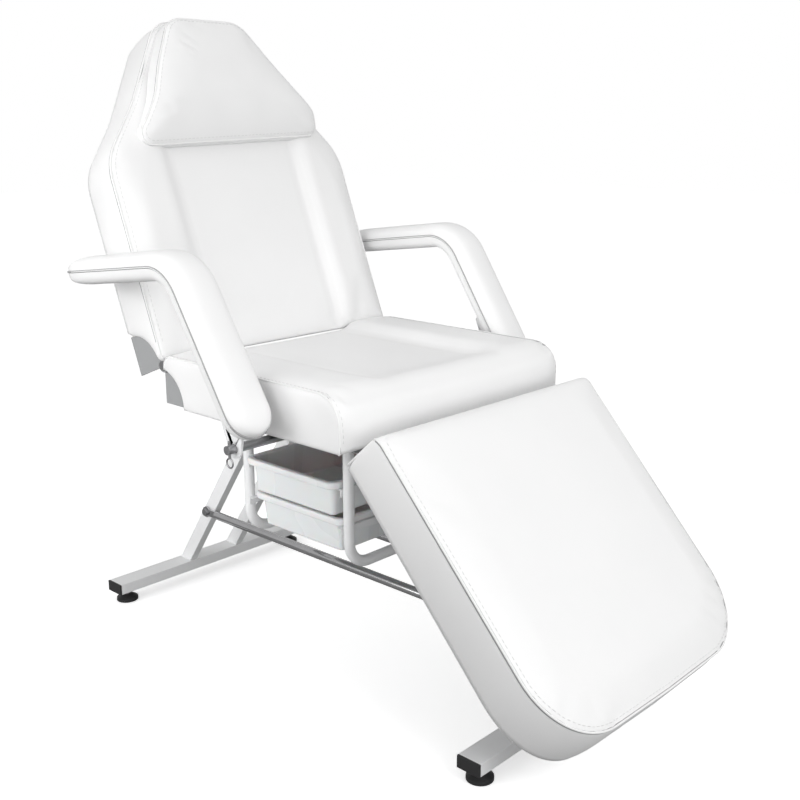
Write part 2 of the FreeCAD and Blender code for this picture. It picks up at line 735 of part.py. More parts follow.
# Tapered backrest cushion with side bolsters, a board behind it and the head pillow in front
def make_back():
    half, thick, crown = worked_out(back_half), size("back_thickness"), size("back_crown")
    foot, ahead = size("back_foot_above"), size("back_seam_ahead")
    top = foot + size("back_length")
    rear = thick - ahead
    # The section lies flat with its underside at the rear of the backrest
    section = cushion_section(half, thick, size("side_draw"), size("side_bulge"),
                              dished_tops(half, thick, crown), lambda x, rise: Vector(x, rear - rise, 0))
    over = size("overrun")
    along = prism(section, Vector(0, 0, foot - over), Vector(0, 0, size("back_length") + 2 * over))
    wide, shoulder, top_half = half + over, foot + size("back_shoulder"), size("back_top_width") / 2
    plan = rounded_wire([(-wide, foot - over, 0), (wide, foot - over, 0),
                         (wide, shoulder, size("back_shoulder_round")),
                         (top_half, top, size("back_top_round")), (-top_half, top, size("back_top_round")),
                         (-wide, shoulder, size("back_shoulder_round"))], front_point)
    outline = prism(plan, Vector(0, rear + over, 0), Vector(0, -thick - crown - 3 * over, 0))
    front = -ahead - crown - over
    profile = rounded_wire([(front, foot, size("back_foot_round")), (rear + over, foot, 0),
                            (rear + over, top + over, 0),
                            (front, top + over, size("seat_front_round"))], side_point)
    cushion = along.common(outline).common(across(profile, half))
    recess = size("back_plate_radius") + size("plate_clearance")
    cushion = cushion.cut(cross_cut(recess, rear, -size("plate_clearance"), half))
    cushion = cushion.cut(cross_cut(size("lug_radius") + size("lug_clearance"), 0, 0, half))
    board = body("back_board")
    add_outline(board, "XY_Plane",
                rectangle(f"-{board_half} - plate_thickness - plate_space",
                          f"{board_half} + plate_thickness + plate_space",
                          "back_thickness - back_seam_ahead - board_thickness",
                          "back_thickness - back_seam_ahead"),
                "back_board_foot", "back_board_length")
    keep(ride_back(board), "back_board")
    doc.recompute()
    place = back_placement()
    local_board = board.Shape.transformed(place.inverse().toMatrix())
    solid_part("back_cushion", cushion.cut(local_board), place)


# Head pillow shaped like the top of the backrest, lying on its bolsters
def make_pillow():
    half, thick, crown = size("pillow_width") / 2, size("pillow_thickness"), size("pillow_crown")
    face = -size("back_seam_ahead") - size("back_crown") - size("pillow_gap")
    foot = size("back_foot_above") + size("pillow_foot")
    top = foot + size("pillow_length")
    tops = [(0, thick + crown)]
    section = cushion_section(half, thick, size("side_draw"), size("side_bulge"), tops,
                              lambda x, rise: Vector(x, face - rise, 0))
    over = size("overrun")
    along = prism(section, Vector(0, 0, foot - over), Vector(0, 0, size("pillow_length") + 2 * over))
    top_half = size("pillow_top_width") / 2
    plan = rounded_wire([(-half, foot, size("pillow_corner")), (half, foot, size("pillow_corner")),
                         (top_half, top, size("pillow_top_round")),
                         (-top_half, top, size("pillow_top_round"))], front_point)
    outline = prism(plan, Vector(0, face + over, 0), Vector(0, -thick - crown - 3 * over, 0))
    front = face - thick - crown - over
    profile = rounded_wire([(face + over, foot - over, 0), (face + over, top + over, 0),
                            (front, top + over, crown + over),
                            (front, foot - over, crown + over)], side_point)
    pillow = along.common(outline).common(across(profile, half))
    solid_part("head_pillow", pillow, back_placement())


# Leg rest that grows thicker towards its rounded foot end, on a board and two hinged rails
def make_leg_rest():
    half, crown = size("leg_rest_width") / 2, size("leg_rest_crown")
    thin, thick = size("leg_rest_thin"), size("leg_rest_thick")
    base = size("leg_rail_height") / 2
    start = -size("leg_rest_start")
    end = start - size("leg_rest_length")
    over, foot_half = size("overrun"), size("leg_rest_foot_width") / 2

    # One cross-section of the leg rest, so far along it
    def section(y, wide_half, tall):
        return cushion_section(wide_half, tall, size("side_draw"), size("side_bulge"), [(0, tall + crown)],
                               lambda x, rise: Vector(x, y, base + rise))

    along = Part.makeLoft([section(start + over, half, thin), section(end - over, foot_half, thick)], True, True)
    corner, wide = size("leg_rest_corner"), half + over
    plan = rounded_wire([(wide, start + over, 0), (-wide, start + over, 0), (-foot_half - over, end, corner),
                         (foot_half + over, end, corner)], flat_point)
    outline = prism(plan, Vector(0, 0, base - over), Vector(0, 0, thick + crown + 4 * over))
    profile = rounded_wire([(start, base - over, 0),
                            (start, base + thin + crown + over, size("leg_rest_head_round")),
                            (end - over, base + thick + crown + over, size("leg_rest_foot_round")),
                            (end - over, base - over, 0)], side_point)
    cushion = along.common(outline).common(across(profile, half))
    board = body("leg_rest_board")
    add_outline(board, "XY_Plane",
                rectangle("-leg_board_half_width", "leg_board_half_width",
                          "-leg_board_start - leg_board_length", "-leg_board_start"),
                "leg_rail_height/2", "board_thickness")
    keep(ride_leg(board), "leg_rest_board")
    for side, sign in sides:
        rail = body(f"leg_rest_rail_{side}")
        x = f"{sign}*leg_rail_centre"
        add_outline(rail, "YZ_Plane",
                    rectangle("-leg_rail_length", "leg_rail_nose", "-leg_rail_height/2", "leg_rail_height/2"),
                    f"{x} - leg_rail_width/2", "leg_rail_width")
        cut_outline(rail, "YZ_Plane",
                    rectangle("-leg_rail_length - overrun", "-leg_rail_solid",
                              "-leg_rail_height/2 + rail_wall", "leg_rail_height/2 - rail_wall"),
                    f"{x} - leg_rail_width/2 + rail_wall", "leg_rail_width - 2*rail_wall")
        cut_bore(rail, "YZ_Plane", "0", "0", "pin_radius + running_fit",
                 f"{x} - leg_rail_width/2 - overrun", "leg_rail_width + 2*overrun")
        keep(ride_leg(rail), f"leg_rest_rail_{side}")
    doc.recompute()
    place = leg_placement()
    local_board = board.Shape.transformed(place.inverse().toMatrix())
    solid_part("leg_rest_cushion", cushion.cut(local_board), place)


# Brackets on the front cross rail and the rod that the leg rest turns on
def make_leg_hinge():
    y, z = "(back_hinge_y - leg_hinge_ahead)", "leg_hinge_z"
    rail_face = f"{front_bar_y} + {leg_shift} - cross_rail_depth/2"
    outer = "leg_rail_centre + leg_rail_width/2 + plate_space"
    for side, sign in sides:
        bracket = body(f"leg_hinge_bracket_{side}")
        start = outer if sign > 0 else f"-({outer}) - leg_bracket_thickness"
        add_outline(bracket, "YZ_Plane", rectangle(y, rail_face, rail_bottom, "leg_hinge_z + leg_eye_radius"),
                    start, "leg_bracket_thickness")
        add_disc(bracket, "YZ_Plane", y, z, "leg_eye_radius", start, "leg_bracket_thickness")
        cut_bore(bracket, "YZ_Plane", y, z, "pin_radius + running_fit", f"{start} - overrun",
                 "leg_bracket_thickness + 2*overrun")
        keep(bracket, f"leg_hinge_bracket_{side}")
    reach = f"({outer} + leg_bracket_thickness)"
    shaft = rod("leg_hinge_shaft", "pin_radius", f"2*{reach}", f"-{reach}", y, z, "X")
    heads = [rod(f"leg_hinge_head_{side}", "pin_head_radius", "pin_head_height",
                 reach if sign > 0 else f"-{reach} - pin_head_height", y, z, "X") for side, sign in sides]
    keep(fuse("leg_hinge_rod", [shaft] + heads), "leg_hinge_rod")


# The underside of an armrest pad seen from the side: its rear tip, its bend and its foot
def arm_points(trim):
    hinge_y = size("back_hinge_y")
    bend = Vector(hinge_y - size("arm_bend_ahead"), size("arm_height") + size("arm_rise"), 0)
    foot = Vector(hinge_y - size("arm_foot_ahead"), size("arm_foot_height"), 0)
    foot = foot + (bend - foot).normalize() * trim
    rear = Vector(hinge_y + size("arm_rear"), size("arm_height"), 0)
    rear = rear + (bend - rear).normalize() * trim
    return rear, bend, foot


# It rises gently from the rear, bends, then slopes down to its foot
def arm_path(trim):
    rear, bend, foot = arm_points(trim)
    return rounded_wire([(rear.x, rear.y, 0), (bend.x, bend.y, size("arm_bend")), (foot.x, foot.y, 0)],
                        side_point, closed=False)


# Padded arms on wooden cores, each with a steel bracket that turns on an axle from the side rail
def make_armrests():
    hinge_y = size("back_hinge_y")
    half, pad, crown = size("arm_width") / 2, size("arm_pad"), size("arm_crown")
    middle = worked_out(arm_middle)
    rear, height = hinge_y + size("arm_rear"), size("arm_height")
    peak = height + size("arm_rise")
    foot_y, foot_z = hinge_y - size("arm_foot_ahead"), size("arm_foot_height")
    over = size("overrun")
    for side, sign in sides:
        centre = sign * middle
        section = cushion_section(half, pad, size("arm_pad_draw"), size("side_bulge"), [(0, pad + crown)],
                                  lambda x, rise: Vector(centre + x, rear, height + rise))
        pipe = arm_path(0).makePipeShell([section], True, False)
        wide = half + over
        round_ = size("arm_round")
        reach = pad + crown + over
        ends = rounded_wire([(centre - wide, foot_y - reach, 0), (centre + wide, foot_y - reach, 0),
                             (centre + wide, rear, round_ + over), (centre - wide, rear, round_ + over)],
                            flat_point)
        tongue = rounded_wire([(centre - wide, foot_z, round_ + over), (centre + wide, foot_z, round_ + over),
                               (centre + wide, peak + reach, 0), (centre - wide, peak + reach, 0)],
                              front_point)
        low = foot_z - reach
        pipe = pipe.common(prism(ends, Vector(0, 0, low), Vector(0, 0, peak + reach - low)))
        run = rear - foot_y + 2 * reach
        pipe = pipe.common(prism(tongue, Vector(0, foot_y - reach, 0), Vector(0, run, 0)))
        solid_part(f"arm_pad_{side}", pipe)
        trim, core_half = size("arm_core_inset"), size("arm_core_width") / 2
        tip = arm_points(trim)[0]
        flat = rounded_wire([(centre - core_half, tip.y - size("arm_core"), 0),
                             (centre + core_half, tip.y - size("arm_core"), 0),
                             (centre + core_half, tip.y, 0), (centre - core_half, tip.y, 0)],
                            lambda x, z: Vector(x, tip.x, z))
        solid_part(f"arm_core_{side}", arm_path(trim).makePipeShell([flat], True, False))
        make_arm_bracket(side, sign)


# A plate along the back of the sloping core, with an eye on the axle below it
def make_arm_bracket(side, sign):
    rise = "(arm_height + arm_rise - arm_foot_height)"
    run = "(arm_foot_ahead - arm_bend_ahead)"
    slope = f"atan2({rise}; {run})"
    bracket = body(f"arm_bracket_{side}")
    start = f"{sign}*{arm_middle} - arm_bracket_thickness/2"

    # A point so far up the slope from the foot and so far behind the pad's underside
    def beside(up, behind):
        return (f"back_hinge_y - arm_foot_ahead + ({up})*cos({slope}) + ({behind})*sin({slope})",
                f"arm_foot_height + ({up})*sin({slope}) - ({behind})*cos({slope})")

    near, far = "arm_core", "arm_core + arm_bracket_depth"
    add_outline(bracket, "YZ_Plane",
                [beside("arm_core_inset", near), beside("arm_bracket_length", near),
                 beside("arm_bracket_length", far),
                 ("back_hinge_y - arm_pivot_ahead + arm_eye_radius", f"{rail_bottom} + rail_height/2"),
                 ("back_hinge_y - arm_pivot_ahead - arm_eye_radius", f"{rail_bottom} + rail_height/2")],
                start, "arm_bracket_thickness")
    pivot_y, pivot_z = "back_hinge_y - arm_pivot_ahead", f"{rail_bottom} + rail_height/2"
    add_disc(bracket, "YZ_Plane", pivot_y, pivot_z, "arm_eye_radius", start, "arm_bracket_thickness")
    cut_bore(bracket, "YZ_Plane", pivot_y, pivot_z, "arm_axle_radius + running_fit",
             f"{start} - overrun", "arm_bracket_thickness + 2*overrun")
    keep(bracket, f"arm_bracket_{side}")


# Axles from the side rails out to the armrests, each with a ring clip at its end
def make_arm_axles():
    y, z = "back_hinge_y - arm_pivot_ahead", f"{rail_bottom} + rail_height/2"
    face = "side_rail_spread/2 + side_rail_width/2"
    clips = []
    for side, sign in sides:
        start = face if sign > 0 else f"-{axle_end}"
        clip_x = f"{sign}*({axle_end} - arm_clip_inset)"
        bar = rod(f"arm_axle_{side}_bar", "arm_axle_radius", f"{axle_end} - ({face})", start, y, z, "X")
        hole = rod(f"arm_axle_{side}_hole", "arm_clip_radius + running_fit", "2*arm_axle_radius + 2*overrun",
                   clip_x, y, f"{z} - arm_axle_radius - overrun")
        keep(cut(f"arm_axle_{side}", bar, hole), f"arm_axle_{side}")
        low = f"{z} - arm_clip_length/2"
        shank = rod(f"arm_clip_{side}_shank", "arm_clip_radius", "arm_clip_length", clip_x, y, low)
        ring = doc.addObject("Part::Torus", f"arm_clip_{side}_ring")
        ring.Placement = Placement(Vector(), Rotation(Vector(0, 1, 0), 90))
        bind(ring, Radius1="arm_ring_radius", Radius2="arm_ring_wire", x=clip_x, y=y,
             z=f"{low} - arm_ring_radius")
        clips.append(fuse(f"arm_clip_{side}", [shank, ring]))
    keep(group("arm_ring_clips", clips), "arm_ring_clips")


# Stops at the first object that failed, then writes one file for each sub-part
def write_parts():
    doc.recompute()
    for item in doc.Objects:
        if {"Invalid", "Error"} & set(item.State):
            raise RuntimeError(f"{item.Name} failed: {item.State}")
    os.makedirs("parts", exist_ok=True)
    whole = FreeCAD.BoundBox()
    for label, item in parts.items():
        shape = item.Shape
        if shape.isNull() or not shape.isValid() or not shape.Solids:
            raise RuntimeError(f"{label} has no valid solid")
        shape.exportStep(f"parts/{label}.step")
        whole.add(shape.BoundBox)
    print(f"{len(parts)} parts, box {whole}")


make_floor_bars()
make_end_caps()
make_feet()
make_legs()
make_seat_frame()
make_stay_rods()
make_hangers()
make_runners()
make_trays()
make_hinge_plates()
make_hinge_pins()
make_seat()
make_back()
make_pillow()
make_leg_rest()
make_leg_hinge()
make_armrests()
make_arm_axles()
write_parts()
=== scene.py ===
import json
import math

import bmesh
import bpy
import numpy as np
from mathutils import Matrix, Vector, noise
from mathutils.bvhtree import BVHTree
from mathutils.geometry import delaunay_2d_cdt


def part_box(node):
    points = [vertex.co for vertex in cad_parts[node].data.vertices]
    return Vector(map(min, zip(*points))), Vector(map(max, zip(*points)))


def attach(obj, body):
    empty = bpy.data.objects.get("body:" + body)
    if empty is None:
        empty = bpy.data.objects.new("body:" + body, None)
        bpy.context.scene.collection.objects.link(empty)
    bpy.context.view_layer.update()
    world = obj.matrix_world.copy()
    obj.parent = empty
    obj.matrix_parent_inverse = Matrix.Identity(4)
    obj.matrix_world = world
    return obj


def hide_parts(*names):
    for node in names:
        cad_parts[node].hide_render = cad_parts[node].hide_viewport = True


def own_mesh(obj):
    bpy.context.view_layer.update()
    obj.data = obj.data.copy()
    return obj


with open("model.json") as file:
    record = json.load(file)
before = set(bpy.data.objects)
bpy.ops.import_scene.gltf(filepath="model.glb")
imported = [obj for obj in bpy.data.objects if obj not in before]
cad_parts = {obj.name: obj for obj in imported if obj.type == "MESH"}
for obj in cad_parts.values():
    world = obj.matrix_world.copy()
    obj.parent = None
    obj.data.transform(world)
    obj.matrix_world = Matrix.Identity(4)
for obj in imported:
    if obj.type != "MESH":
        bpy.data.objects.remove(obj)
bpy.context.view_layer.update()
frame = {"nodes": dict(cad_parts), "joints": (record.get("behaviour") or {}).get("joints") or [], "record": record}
nodes = frame["nodes"]
hinges = {joint["name"]: Vector(joint["pos_m"]) for joint in frame["joints"]}
backHinge = hinges["back_recline"]
scene = bpy.context.scene
print("frame: %d nodes" % len(nodes))


# shader helpers

def link(tree, source, target):
    tree.links.new(source, target)


# an output is linked to the socket, a number or a colour is set on it
def feed(tree, value, socket):
    if isinstance(value, bpy.types.NodeSocket):
        link(tree, value, socket)
    else:
        socket.default_value = value


def addNode(tree, kind, **values):
    node = tree.nodes.new(kind)
    for name, value in values.items():
        if name in node.inputs:
            feed(tree, value, node.inputs[name])
        else:
            setattr(node, name, value)
    return node


def newGroup(name, inputs, outputs):
    tree = bpy.data.node_groups.new(name, "ShaderNodeTree")
    for label in inputs:
        tree.interface.new_socket(label, in_out="INPUT", socket_type="NodeSocketFloat")
    for label in outputs:
        kind = "NodeSocketColor" if label == "Colour" else "NodeSocketFloat"
        tree.interface.new_socket(label, in_out="OUTPUT", socket_type=kind)
    coords = addNode(tree, "ShaderNodeTexCoord").outputs["Object"]
    gets, gives = tree.nodes.new("NodeGroupInput"), tree.nodes.new("NodeGroupOutput")
    return tree, gets.outputs, gives.inputs, coords


def closeGroup(tree, gives, **results):
    for label, result in results.items():
        link(tree, result, gives[label])
    return tree


def addTexture(tree, kind, coords, output="Fac", **values):
    return addNode(tree, "ShaderNodeTex" + kind, Vector=coords, **values).outputs[output]


def mathNode(tree, operation, first, second):
    node = addNode(tree, "ShaderNodeMath", operation=operation)
    feed(tree, first, node.inputs[0])
    feed(tree, second, node.inputs[1])
    return node.outputs[0]


# pebbled grain of the cover: fine cells, finer pores and a slow drift in tone
def buildGrainGroup():
    tree, gets, gives, coords = newGroup("coverGrain", ["Scale", "Pores"], ["Height", "Drift"])
    sized = addNode(tree, "ShaderNodeVectorMath", operation="SCALE", Scale=gets["Scale"])
    link(tree, coords, sized.inputs[0])
    spots = sized.outputs[0]
    cells = addTexture(tree, "Voronoi", spots, "Distance", Scale=760.0, feature="SMOOTH_F1", Smoothness=0.35)
    pores = addTexture(tree, "Noise", spots, Scale=1900.0, Detail=2.0)
    drift = addTexture(tree, "Noise", spots, Scale=7.0, Detail=3.0, Roughness=0.55)
    height = mathNode(tree, "ADD", cells, mathNode(tree, "MULTIPLY", pores, gets["Pores"]))
    return closeGroup(tree, gives, Height=height, Drift=drift)


# sprayed paint: slow ripples, plus a mask of rubbed spots along edges
def buildPaintGroup():
    tree, gets, gives, coords = newGroup("sprayedPaint", ["Ripple", "Rub"], ["Height", "Rubbed", "Drift"])
    peel = addTexture(tree, "Noise", coords, Scale=gets["Ripple"], Detail=1.0)
    spots = addTexture(tree, "Noise", coords, Scale=55.0, Detail=6.0, Roughness=0.7)
    drift = addTexture(tree, "Noise", coords, Scale=5.0, Detail=2.0)
    edges = addNode(tree, "ShaderNodeNewGeometry").outputs["Pointiness"]
    worn = mathNode(tree, "MULTIPLY", mathNode(tree, "SUBTRACT", edges, 0.52), 9.0)
    worn = mathNode(tree, "MULTIPLY", worn, mathNode(tree, "POWER", spots, 2.0))
    worn = mathNode(tree, "MULTIPLY", mathNode(tree, "MAXIMUM", worn, 0.0), gets["Rub"])
    return closeGroup(tree, gives, Height=peel, Rubbed=worn, Drift=drift)


# fine drawn lines along one axis for thread, bare and plated metal
def buildDrawnGroup():
    tree, gets, gives, coords = newGroup("drawnLines", ["Across", "Along"], ["Height", "Smudge"])
    parts = addNode(tree, "ShaderNodeSeparateXYZ")
    link(tree, coords, parts.inputs[0])
    joined = addNode(tree, "ShaderNodeCombineXYZ")
    for axis, factor in (("X", "Across"), ("Y", "Along"), ("Z", "Across")):
        link(tree, mathNode(tree, "MULTIPLY", parts.outputs[axis], gets[factor]), joined.inputs[axis])
    lines = addTexture(tree, "Noise", joined.outputs[0], Scale=1.0, Detail=3.0)
    smudge = addTexture(tree, "Noise", coords, Scale=38.0, Detail=4.0)
    return closeGroup(tree, gives, Height=lines, Smudge=smudge)


# moulded plastic: fine spark texture and faint flow marks
def buildMouldedGroup():
    tree, gets, gives, coords = newGroup("mouldedSkin", ["Spark"], ["Height", "Flow"])
    spark = addTexture(tree, "Noise", coords, Scale=gets["Spark"], Detail=2.0)
    flow = addTexture(tree, "Wave", coords, Scale=3.0, Distortion=5.0, Detail=2.0)
    return closeGroup(tree, gives, Height=spark, Flow=flow)


# plywood: long grain and thin darker plies through the thickness
plyLook = {"stretch": (60.0, 4.0, 60.0), "plyShare": 0.25,
           "ramp": [(0.25, (0.60, 0.575, 0.535, 1)), (0.85, (0.74, 0.72, 0.685, 1))]}


def buildPlyGroup():
    tree, gets, gives, coords = newGroup("plySheet", ["Plies"], ["Colour", "Height"])
    stretch = addNode(tree, "ShaderNodeMapping", Vector=coords, Scale=plyLook["stretch"])
    grain = addTexture(tree, "Noise", stretch.outputs[0], Scale=1.0, Detail=5.0, Distortion=0.6)
    plies = addTexture(tree, "Wave", coords, bands_direction="Z", Scale=gets["Plies"], Distortion=0.4)
    plyTone = mathNode(tree, "MULTIPLY", plies, plyLook["plyShare"])
    ramp = addNode(tree, "ShaderNodeValToRGB")
    for stop, (position, colour) in zip(ramp.color_ramp.elements, plyLook["ramp"]):
        stop.position, stop.color = position, colour
    link(tree, mathNode(tree, "ADD", grain, plyTone), ramp.inputs[0])
    return closeGroup(tree, gives, Colour=ramp.outputs[0], Height=grain)


grainGroup = buildGrainGroup()
paintGroup = buildPaintGroup()
drawnGroup = buildDrawnGroup()
mouldedGroup = buildMouldedGroup()
plyGroup = buildPlyGroup()


def newMaterial(name):
    material = bpy.data.materials.new(name)
    material.use_nodes = True
    return material, material.node_tree, material.node_tree.nodes["Principled BSDF"].inputs


def newFinish(name, group, settings, **fixed):
    material, tree, takes = newMaterial(name)
    for label, value in fixed.items():
        takes[label.replace("_", " ")].default_value = value
    effect = addNode(tree, "ShaderNodeGroup", node_tree=group)
    for label, value in settings.items():
        effect.inputs[label].default_value = value
    return material, tree, takes, effect.outputs


def addBump(tree, takes, height, strength, distance):
    bump = addNode(tree, "ShaderNodeBump", Strength=strength, Distance=distance, Height=height)
    link(tree, bump.outputs[0], takes["Normal"])


def mixColour(tree, factor, first, second):
    mix = addNode(tree, "ShaderNodeMix", data_type="RGBA", Factor=factor)
    feed(tree, first, mix.inputs[6])
    feed(tree, second, mix.inputs[7])
    return mix.outputs[2]


def spread(tree, value, low, high):
    return addNode(tree, "ShaderNodeMapRange", **{"Value": value, "To Min": low, "To Max": high}).outputs[0]


# one output of the group drives tone, from dark to light, and roughness; its height makes the bump
def drivenFinish(name, group, settings, drive, tones, rough, bump, worn=None, **fixed):
    material, tree, takes, gives = newFinish(name, group, settings, **fixed)
    tone = mixColour(tree, gives[drive], *tones)
    if worn:
        tone = mixColour(tree, gives["Rubbed"], tone, worn)
    link(tree, tone, takes["Base Color"])
    link(tree, spread(tree, gives[drive], *rough), takes["Roughness"])
    addBump(tree, takes, gives["Height"], *bump)
    return material


def paintFinish(name, tones, rub, rough):
    return drivenFinish(name, paintGroup, {"Ripple": 240.0, "Rub": rub}, "Drift", tones, rough, (0.05, 0.0008),
                        worn=(0.34, 0.34, 0.35, 1), Specular_IOR_Level=0.5, Coat_Weight=0.15,
                        Coat_Roughness=0.25)


def metalFinish(name, colour, rough, across, strength):
    darker = tuple(part * 0.82 for part in colour[:3]) + (1,)
    return drivenFinish(name, drawnGroup, {"Across": across, "Along": 20.0}, "Smudge", (darker, colour), rough,
                        (strength, 0.0002), Metallic=1.0)


def plasticFinish(name, tones, rough, **fixed):
    return drivenFinish(name, mouldedGroup, {"Spark": 1400.0}, "Flow", tones, rough, (0.1, 0.0003), **fixed)


def plywoodFinish():
    material, tree, takes, gives = newFinish("plywood", plyGroup, {"Plies": 420.0}, Roughness=0.72)
    link(tree, gives["Colour"], takes["Base Color"])
    addBump(tree, takes, gives["Height"], 0.2, 0.0008)
    return material


cover = drivenFinish("whiteCover", grainGroup, {"Scale": 1.0, "Pores": 0.45}, "Drift",
                     ((0.82, 0.82, 0.822, 1), (0.85, 0.85, 0.848, 1)), (0.4, 0.52), (0.16, 0.0006),
                     Specular_IOR_Level=0.42)
piping = drivenFinish("whitePiping", grainGroup, {"Scale": 1.3, "Pores": 0.3}, "Drift",
                      ((0.80, 0.80, 0.80, 1), (0.86, 0.86, 0.858, 1)), (0.38, 0.5), (0.12, 0.0005),
                      Specular_IOR_Level=0.45)
# dark tube colour: painted shade of the drawn-in lines beside each piping, where the cover dips into its seam
seamShade = drivenFinish("seamCrease", grainGroup, {"Scale": 1.6, "Pores": 0.3}, "Drift",
                      ((0.30, 0.30, 0.303, 1), (0.38, 0.38, 0.383, 1)), (0.6, 0.75), (0.1, 0.0004),
                      Specular_IOR_Level=0.2)
thread = drivenFinish("whiteThread", drawnGroup, {"Across": 2600.0, "Along": 2600.0}, "Height",
                      ((0.62, 0.62, 0.62, 1), (0.78, 0.78, 0.775, 1)), (0.5, 0.7), (0.3, 0.0003),
                      Specular_IOR_Level=0.3)
finishOf = {
    "leatherette": cover,
    "frame_paint": paintFinish("framePaint", ((0.84, 0.845, 0.85, 1), (0.88, 0.885, 0.89, 1)), 0.3,
                               (0.30, 0.44)),
    "chrome_plate": metalFinish("chromePlate", (0.60, 0.60, 0.61, 1), (0.08, 0.18), 500.0, 0.02),
    "hinge_grey": paintFinish("hingeGrey", ((0.31, 0.315, 0.32, 1), (0.36, 0.365, 0.37, 1)), 0.6, (0.36, 0.50)),
    "black_plastic": plasticFinish("blackPlastic", ((0.014, 0.014, 0.015, 1), (0.022, 0.022, 0.023, 1)),
                                   (0.38, 0.5)),
    "tray_plastic": plasticFinish("trayPlastic", ((0.83, 0.835, 0.84, 1), (0.86, 0.865, 0.87, 1)), (0.26, 0.36),
                                  Subsurface_Weight=0.15, Subsurface_Scale=0.01),
    "plywood": plywoodFinish(),
    "zinc_steel": metalFinish("zincSteel", (0.42, 0.42, 0.43, 1), (0.28, 0.45), 900.0, 0.08),
}
print("finishes ready")


# hard parts from the frame keep their shape and get softened edges
hardLook = {
    "weld": 0.00001, "segments": 2, "sharp": 38.0, "weight": 60,
    "soften": {"frame_paint": 0.0012, "hinge_grey": 0.0007, "black_plastic": 0.0012, "tray_plastic": 0.001,
               "plywood": 0.0006, "zinc_steel": 0.0005, "chrome_plate": 0.0005},
}


def evenNormals(piece):
    even = piece.modifiers.new("even", "WEIGHTED_NORMAL")
    even.weight, even.keep_sharp = hardLook["weight"], False


def dressHardParts():
    for entry in frame["record"]["subparts"]:
        part, slot = nodes[entry["node"]], entry["material_slot"]
        if not part.material_slots:
            part.data.materials.append(finishOf[slot])
        for place in part.material_slots:
            place.material = finishOf[slot]
        if slot not in hardLook["soften"]:
            continue
        weld = part.modifiers.new("weld", "WELD")
        weld.merge_threshold = hardLook["weld"]
        soften = part.modifiers.new("soften", "BEVEL")
        soften.width, soften.segments = hardLook["soften"][slot], hardLook["segments"]
        soften.limit_method, soften.angle_limit = "ANGLE", math.radians(hardLook["sharp"])
        evenNormals(part)
        for face in part.data.polygons:
            face.use_smooth = True


dressHardParts()
print("hard parts done")


# outline and mesh helpers, all lengths in metres

def roundedOutline(corners, step, closed=True):
    bends, count = [], len(corners)
    for index, (x, y, radius) in enumerate(corners):
        here = Vector((x, y))
        if not radius or (not closed and index in (0, count - 1)):
            bends.append([here])
            continue
        before = (Vector(corners[index - 1][:2]) - here).normalized()
        after = (Vector(corners[(index + 1) % count][:2]) - here).normalized()
        half = math.acos(max(-1.0, min(1.0, before.dot(after)))) / 2
        centre = here + (before + after).normalized() * (radius / math.sin(half))
        spoke = here + before * (radius / math.tan(half)) - centre
        sweep = (math.pi - 2 * half) * (1 if before.cross(after) < 0 else -1)
        pieces = max(3, int(radius * abs(sweep) / step) + 1)
        bends.append([centre + Matrix.Rotation(sweep * k / pieces, 2) @ spoke for k in range(pieces + 1)])
    outline = []
    for index, points in enumerate(bends):
        outline += points
        if not closed and index == count - 1:
            break
        ahead = bends[(index + 1) % count][0]
        pieces = int((ahead - points[-1]).length / step)
        outline += [points[-1].lerp(ahead, k / (pieces + 1)) for k in range(1, pieces + 1)]
    return outline


# normals of an outline that runs anticlockwise
def outwardNormals(outline):
    count = len(outline)
    normals = []
    for index in range(count):
        way = (outline[(index + 1) % count] - outline[index - 1]).normalized()
        normals.append(Vector((way.y, -way.x)))
    return normals


# distance to the outline, below zero outside it
def edgeDistance(points, outline):
    tiny = 1e-12
    spots = np.array([tuple(point) for point in points], float)
    ring = np.array([tuple(point) for point in outline], float)
    ahead = np.roll(ring, -1, axis=0)
    run = ahead - ring
    offset = spots[:, None, :] - ring[None]
    share = np.clip((offset * run).sum(2) / np.maximum((run * run).sum(1), tiny), 0, 1)
    gaps = np.linalg.norm(offset - share[:, :, None] * run, axis=2).min(1)
    above = (ring[None, :, 1] > spots[:, None, 1]) != (ahead[None, :, 1] > spots[:, None, 1])
    rise = np.where(np.abs(run[:, 1]) < tiny, tiny, run[:, 1])
    cross = ring[:, 0] + (spots[:, None, 1] - ring[:, 1]) * run[:, 0] / rise
    inside = (above & (spots[:, None, 0] < cross)).sum(1) % 2 == 1
    return np.where(inside, gaps, -gaps)


# fills an outline with a close net of triangles: rings along the edge, a grid inside
netLook = {"ringShare": 0.9, "gridGap": 0.6, "weld": 1e-6}


def fillPanel(outline, spacing, rings):
    normals = outwardNormals(outline)
    points = list(outline)
    for inset in rings:
        ring = [point - normal * inset for point, normal in zip(outline, normals)]
        depth = edgeDistance(ring, outline)
        kept = [point for point, d in zip(ring, depth) if d > inset * netLook["ringShare"]]
        points += kept[::2] if inset > spacing else kept
    marks = []
    for axis in (0, 1):
        low, high = (pick(point[axis] for point in outline) for pick in (min, max))
        marks.append(np.linspace(low, high, int((high - low) / spacing) + 1))
    net = [Vector((x, y)) for y in marks[1] for x in marks[0]]
    depth = edgeDistance(net, outline)
    points += [point for point, d in zip(net, depth) if d > rings[-1] + spacing * netLook["gridGap"]]
    edges = [(index, (index + 1) % len(outline)) for index in range(len(outline))]
    made = delaunay_2d_cdt(points, edges, [], 1, netLook["weld"])
    assert len(made[0]) == len(points), "outline points fell together"
    return list(made[0]), [tuple(face) for face in made[2]]


def ringsOf(count, rim, start=0):
    return [range(start + row * rim, start + (row + 1) * rim) for row in range(count)]


# quads between each ring of points and the next
def joinRings(rings):
    faces = []
    for here, ahead in zip(rings, rings[1:]):
        for k in range(len(here)):
            after = (k + 1) % len(here)
            faces.append((here[k], here[after], ahead[after], ahead[k]))
    return faces


